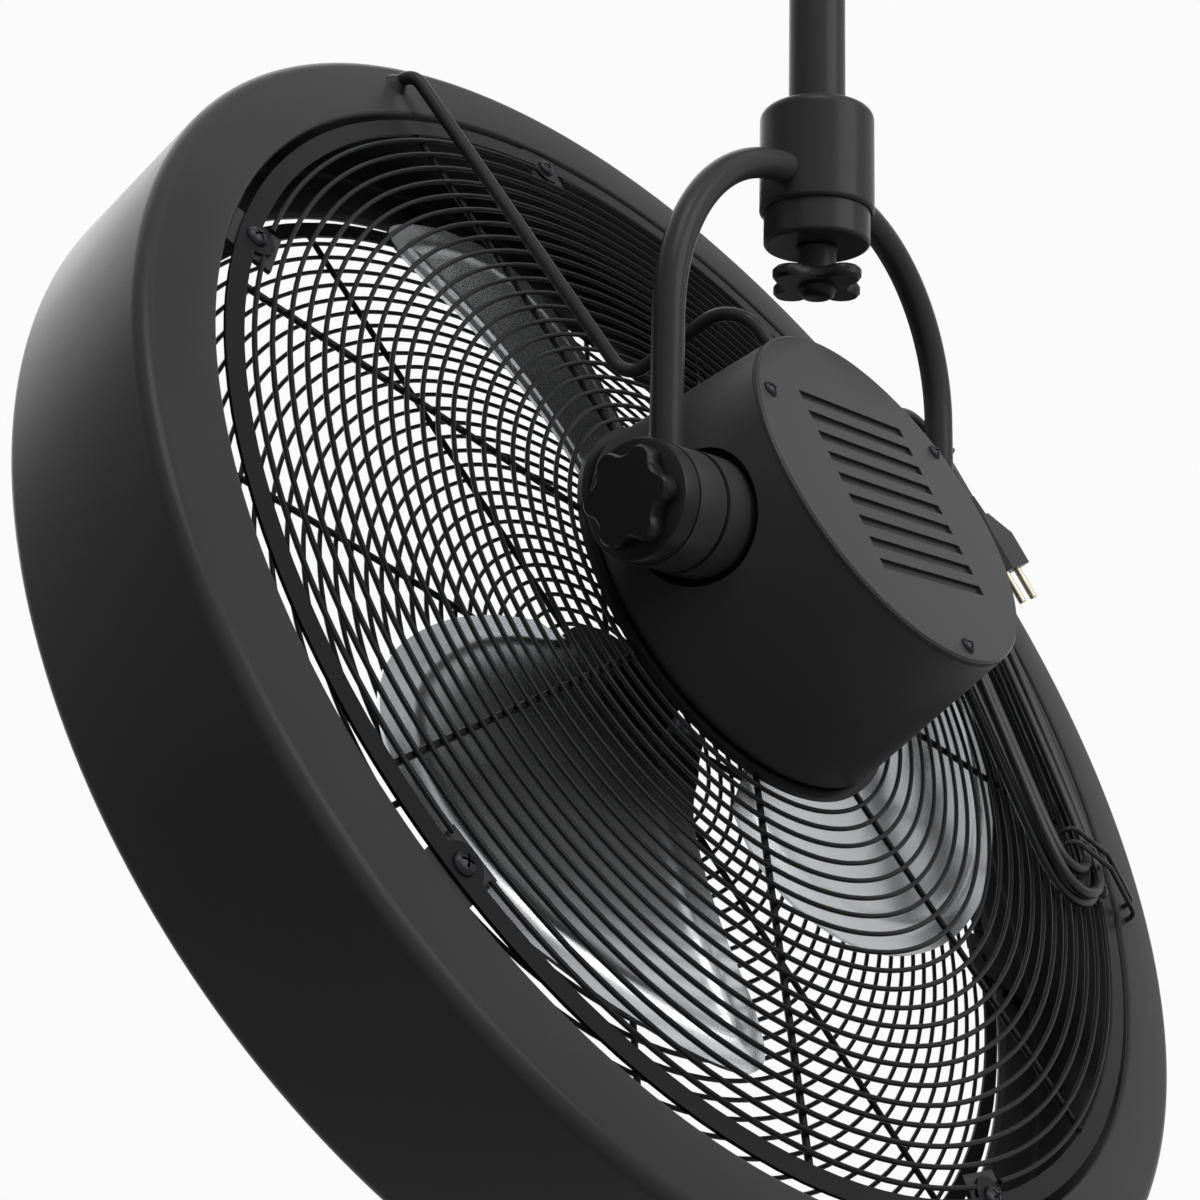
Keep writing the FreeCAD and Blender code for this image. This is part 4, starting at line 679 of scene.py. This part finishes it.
# Motor: a steel can with laminated iron, copper windings and a run capacitor, shut in the housing.
# Only glimpses show through the pivot holes.
dress(bright_steel, "motor_shaft", "motor_bearings", "motor_can", "motor_end_shield")
laminated_iron = plated_steel("laminated_core_iron", "#6B6B6D", (0.45, 0.6), 0.8)
dress(laminated_iron, "stator_core", "rotor_core")
winding_copper = plated_steel("enamelled_copper", "#B0673A", (0.3, 0.45), 1.0)
dress(winding_copper, "stator_coils")
capacitor_case = moulded_plastic("capacitor_polypropylene", "#202022", (0.3, 0.4), 1.5)
dress(capacitor_case, "run_capacitor")


# Blades: three pressed aluminium paddles riveted to a dark steel spider on the shaft.
# Each has a narrow bead pressed round its rim, and the sheet keeps a smooth satin polish.
def rolled_aluminium(name, colour, roughness, cloud_mm):
    material = bpy.data.materials.new(name)
    material.use_nodes = True
    tree = material.node_tree
    shader = tree.nodes["Principled BSDF"]
    shader.inputs["Base Color"].default_value = linear(colour)
    shader.inputs["Metallic"].default_value = 1.0
    place = add_node(tree, "ShaderNodeUVMap", {"uv_map": "sheet"})
    cloud = add_node(tree, "ShaderNodeTexNoise", None,
                     {"Vector": place.outputs["UV"], "Scale": 1 / (cloud_mm * MM), "Detail": 2.0})
    polish = add_node(tree, "ShaderNodeMapRange", None,
                      {"Value": cloud.outputs["Fac"], "To Min": roughness[0], "To Max": roughness[1]})
    tree.links.new(polish.outputs["Result"], shader.inputs["Roughness"])
    return material


satin_aluminium = rolled_aluminium("rolled_aluminium_sheet", "#CACBCD", (0.2, 0.26), 60.0)
BLADE_FRONT_EDGE = [(50, -56), (66, -70), (88, -81), (114, -87), (141, -88),
                    (168, -82), (195, -67), (216, -44), (230, -14), (235, 20)]
BLADE_REAR_EDGE = [(58, 30), (84, 36), (112, 45), (138, 62), (160, 82),
                   (178, 103), (195, 116), (208, 111), (220, 88), (230, 55)]
BLADE_PLANE = -86.0
ROOT_PITCH = math.radians(22)
TIP_PITCH = math.radians(10.5)
BLADE_TIP = 236.0
BLADE_SHEET = 1.6
SHAFT_RADIUS = 6.0
RIB_INSET = 14.0
RIB_HALF_WIDTH = 3.2
RIB_HEIGHT = 0.7
CAMBER = -0.0004
CAMBER_LIFT = 1.3


def along_curve(points, share):
    """A point on a smooth curve through the given points, share running from 0 to 1."""
    reach = share * (len(points) - 1)
    row = min(int(reach), len(points) - 2)
    t = reach - row
    before = Vector(points[max(row - 1, 0)])
    here = Vector(points[row])
    after = Vector(points[row + 1])
    beyond = Vector(points[min(row + 2, len(points) - 1)])
    return (here + (after - before) * (t / 2) + (before * 2 - here * 5 + after * 4 - beyond) * (t * t / 2)
            + (here * 3 - before - after * 3 + beyond) * (t ** 3 / 2))


def blade_slope(out):
    """How far the sheet rises for each millimetre across, flatter towards the tip."""
    inner = SHAFT_RADIUS
    outer = DRUM_RADIUS
    share = (out - inner) / (outer - inner)
    pitches = [ROOT_PITCH + place / BLADE_TIP * (TIP_PITCH - ROOT_PITCH) for place in (inner, outer)]
    rise = (1 - share) * math.sin(pitches[0]) + share * math.sin(pitches[1])
    run = (1 - share) * math.cos(pitches[0]) + share * math.cos(pitches[1])
    return rise / run


def blade_edge_tree(samples=240):
    """The sheet's outer edge as points to measure the bead's inset from; the root edge is left out."""
    tree = KDTree(2 * samples + samples // 4)
    for step in range(samples):
        for row, edge in enumerate((BLADE_FRONT_EDGE, BLADE_REAR_EDGE)):
            spot = along_curve(edge, step / (samples - 1))
            tree.insert((spot.x, spot.y, 0), 2 * step + row)
    tip = (Vector(BLADE_FRONT_EDGE[-1]), Vector(BLADE_REAR_EDGE[-1]))
    for step in range(samples // 4):
        spot = tip[0].lerp(tip[1], step / (samples // 4))
        tree.insert((spot.x, spot.y, 0), 2 * samples + step)
    tree.balance()
    return tree


def blade_mesh(name, edge_tree):
    rows, columns = 120, 110
    shape = bmesh.new()
    sheet = shape.loops.layers.uv.new("sheet")
    top = []
    bottom = []
    for row in range(rows + 1):
        front = along_curve(BLADE_FRONT_EDGE, row / rows)
        rear = along_curve(BLADE_REAR_EDGE, row / rows)
        top.append([])
        bottom.append([])
        for column in range(columns + 1):
            spot = front.lerp(rear, column / columns)
            inset = edge_tree.find((spot.x, spot.y, 0))[2]
            rib = RIB_HEIGHT * math.exp(-((inset - RIB_INSET) / RIB_HALF_WIDTH) ** 2)
            bow = CAMBER * spot.y ** 2 + CAMBER_LIFT
            height = BLADE_PLANE + spot.y * blade_slope(spot.x) + rib + bow
            top[-1].append(shape.verts.new((spot.x, spot.y, height + BLADE_SHEET / 2)))
            bottom[-1].append(shape.verts.new((spot.x, spot.y, height - BLADE_SHEET / 2)))
    for grid in (top, bottom):
        for row in range(rows):
            for column in range(columns):
                shape.faces.new((grid[row][column], grid[row + 1][column],
                                 grid[row + 1][column + 1], grid[row][column + 1]))
    rim = ([(row, 0) for row in range(rows)] + [(rows, column) for column in range(columns)]
           + [(row, columns) for row in range(rows, 0, -1)]
           + [(0, column) for column in range(columns, 0, -1)])
    for (row, column), (next_row, next_column) in zip(rim, rim[1:] + rim[:1]):
        shape.faces.new((top[row][column], top[next_row][next_column],
                         bottom[next_row][next_column], bottom[row][column]))
    for face in shape.faces:
        for loop in face.loops:
            loop[sheet].uv = (loop.vert.co.x * MM, loop.vert.co.y * MM)
    return finished_mesh(name, shape, 50)


BLADE_FIRST = math.radians(35)
BLADE_COUNT = 3
edge_tree = blade_edge_tree()
for blade in range(BLADE_COUNT):
    mesh = blade_mesh(f"blade_sheet_{blade + 1}", edge_tree)
    mesh.transform(head_mm @ Matrix.Rotation(BLADE_FIRST + 2 * math.pi * blade / BLADE_COUNT, 4, "Z"))
    mesh_piece(f"blade_sheet_{blade + 1}", with_material(mesh, satin_aluminium), "rotor", "blade_aluminium",
               f"blade_{blade + 1}")
dress(steel_coat, "hub_spider")
dress(bright_steel, "hub_nut")

# Aiming rod and cord hooks: bent round steel rod, welded to the drum's rear face.
# The rod is 6.5 mm and the hooks 2.6 mm, coated with the drum.
dress(steel_coat, "aiming_rod", "cord_hook_lower", "cord_hook_upper")

# Mains cord: black flexible sheath 5.5 mm across, from a tapered gland to a moulded plug.
# Its spare length is wound flat round the two hooks, and the plug lies on top of the hank.
BLOOM_MM = 14


def cord_sheath(name, colour, sheen):
    material = bpy.data.materials.new(name)
    material.use_nodes = True
    tree = material.node_tree
    shader = tree.nodes["Principled BSDF"]
    shader.inputs["Base Color"].default_value = linear(colour)
    shader.inputs["IOR"].default_value = 1.52
    shader.inputs["Specular IOR Level"].default_value = 0.25
    place = add_node(tree, "ShaderNodeTexCoord")
    bloom = add_node(tree, "ShaderNodeTexNoise", None,
                     {"Vector": place.outputs["Object"], "Scale": 1 / (BLOOM_MM * MM), "Detail": 3.0})
    gloss = add_node(tree, "ShaderNodeMapRange", None,
                     {"Value": bloom.outputs["Fac"], "To Min": sheen[0], "To Max": sheen[1]})
    tree.links.new(gloss.outputs["Result"], shader.inputs["Roughness"])
    return material


soft_sheath = cord_sheath("flexible_cord_sheath", "#151516", (0.34, 0.46))
CORD_DIAMETER = 5.5
HANK_STEP = 6.1
HANK_BEND = 16.5
HANK_RUN = 228.0
HANK_TOP = 16.15
PLUG_BEND = 25.3
PLUG_TURN = math.radians(18)
PLUG_LEAD = 33.7
HANK_CENTRE = (-194.5, 116.0, -41.3)
HANK_TILT = math.radians(-3.7)
hank_place = Matrix.Translation(HANK_CENTRE) @ Matrix.Rotation(HANK_TILT, 4, "X")
MOTOR_ROWS = (2, 1, 0, 0, 1)
RIM_ROWS = (2, 1, 0, 1)
CLIMBING_ROW = 2
# How far each turn sags past the lower hook, and how far its two runs bow out from the hank's middle
TURN_SAG = (7.0, 4.0, 1.0, 8.0)
RIM_BOW = (7.0, 1.5, -7.0, -5.0)
MOTOR_BOW = (8.0, -6.0, -1.0, 10.0)


def hank_row(row):
    return HANK_BEND + row * HANK_STEP


def end_turn(start, stop, along, height, outward, sweep=math.pi):
    """Corners round one end of the hank, which the cord's curve touches between them."""
    points = []
    middle = (start + stop) / 2
    reach = abs(stop - start) / 2 / math.cos(sweep / 8)
    side = math.copysign(1, start - stop)
    for step in range(4):
        angle = sweep * (step + 0.5) / 4
        points.append(Vector((middle + side * reach * math.cos(angle),
                              along + outward * reach * math.sin(angle), height)))
    return points


def loose_run(across, begin, end, low, high, bow):
    """Corners along one run between the hooks, bowing out where nothing ties it."""
    points = []
    for share, slack in ((0.2, 0.45), (0.45, 1.0), (0.75, 0.7)):
        points.append(Vector((across + math.copysign(bow * slack, across), begin + share * (end - begin),
                              low + share * (high - low))))
    return points


GLAND_ANGLE = math.radians(200)
GLAND_REACH = 123.12
GLAND_LEVEL = -28.0
LEAD_STRAIGHT = (20.0, 41.0)
HANK_ENTRY = 27.0
gland_axis = Vector((math.cos(GLAND_ANGLE), math.sin(GLAND_ANGLE), 0))
gland_tip = gland_axis * GLAND_REACH + Vector((0, 0, GLAND_LEVEL))
first_row = hank_row(MOTOR_ROWS[0])
hank_route = [Vector((first_row, -HANK_RUN + HANK_ENTRY, 0)), Vector((first_row, -HANK_RUN, 0))]
layer = 0.0
for turn, (row, rim_row, next_row) in enumerate(zip(MOTOR_ROWS, RIM_ROWS, MOTOR_ROWS[1:])):
    rim_side = -hank_row(rim_row)
    motor_side = hank_row(next_row)
    hank_route += end_turn(hank_row(row), rim_side, -HANK_RUN, layer, -1)
    after_rim = HANK_STEP if turn == CLIMBING_ROW else layer
    hank_route += loose_run(rim_side, -HANK_RUN, 0, layer, after_rim, RIM_BOW[turn])
    hank_route += end_turn(rim_side, motor_side, TURN_SAG[turn], after_rim, 1)
    layer = HANK_TOP if turn == len(RIM_ROWS) - 1 else after_rim
    hank_route += loose_run(motor_side, 0, -HANK_RUN, after_rim, layer, MOTOR_BOW[turn])
last_row = hank_row(MOTOR_ROWS[-1])
hank_route += end_turn(last_row, last_row - 2 * PLUG_BEND, -HANK_RUN, layer, -1, math.pi - PLUG_TURN)
plug_way = Vector((-math.sin(PLUG_TURN), math.cos(PLUG_TURN), 0))
hank_end = Vector((last_row - PLUG_BEND * (1 + math.cos(PLUG_TURN)),
                   -HANK_RUN - PLUG_BEND * math.sin(PLUG_TURN), layer))
hank_route += [hank_end, hank_end + plug_way * PLUG_LEAD / 2, hank_end + plug_way * PLUG_LEAD]
route = [gland_tip] + [gland_tip + gland_axis * way for way in LEAD_STRAIGHT]
route += [hank_place @ spot for spot in hank_route]
cord_curve = bpy.data.curves.new("mains_cord", "CURVE")
cord_curve.dimensions = "3D"
cord_curve.bevel_depth = CORD_DIAMETER / 2 * MM
cord_curve.bevel_resolution = 4
cord_curve.use_fill_caps = True
cord_line = cord_curve.splines.new("NURBS")
cord_line.points.add(len(route) - 1)
for point, spot in zip(cord_line.points, route):
    point.co = (*(head_mm @ spot), 1.0)
cord_line.order_u = 3
cord_line.use_endpoint_u = True
cord_line.resolution_u = 6
cord_curve.materials.append(soft_sheath)
cord = mesh_piece("mains_cord", cord_curve, "head", "cord_rubber", "supply_lead", "cord_hank", "plug_lead")
dress(soft_sheath, "cord_gland")

# Plug: a flat two-pin plug moulded onto the cord, in the cord's own black.
# The pins are nickel-plated brass with rounded tips.
dress(black_nylon, "plug_body")
nickel_pins = plated_steel("nickel_plated_brass", "#A89F8A", (0.25, 0.4), 2.0)
dress(nickel_pins, "plug_pins")
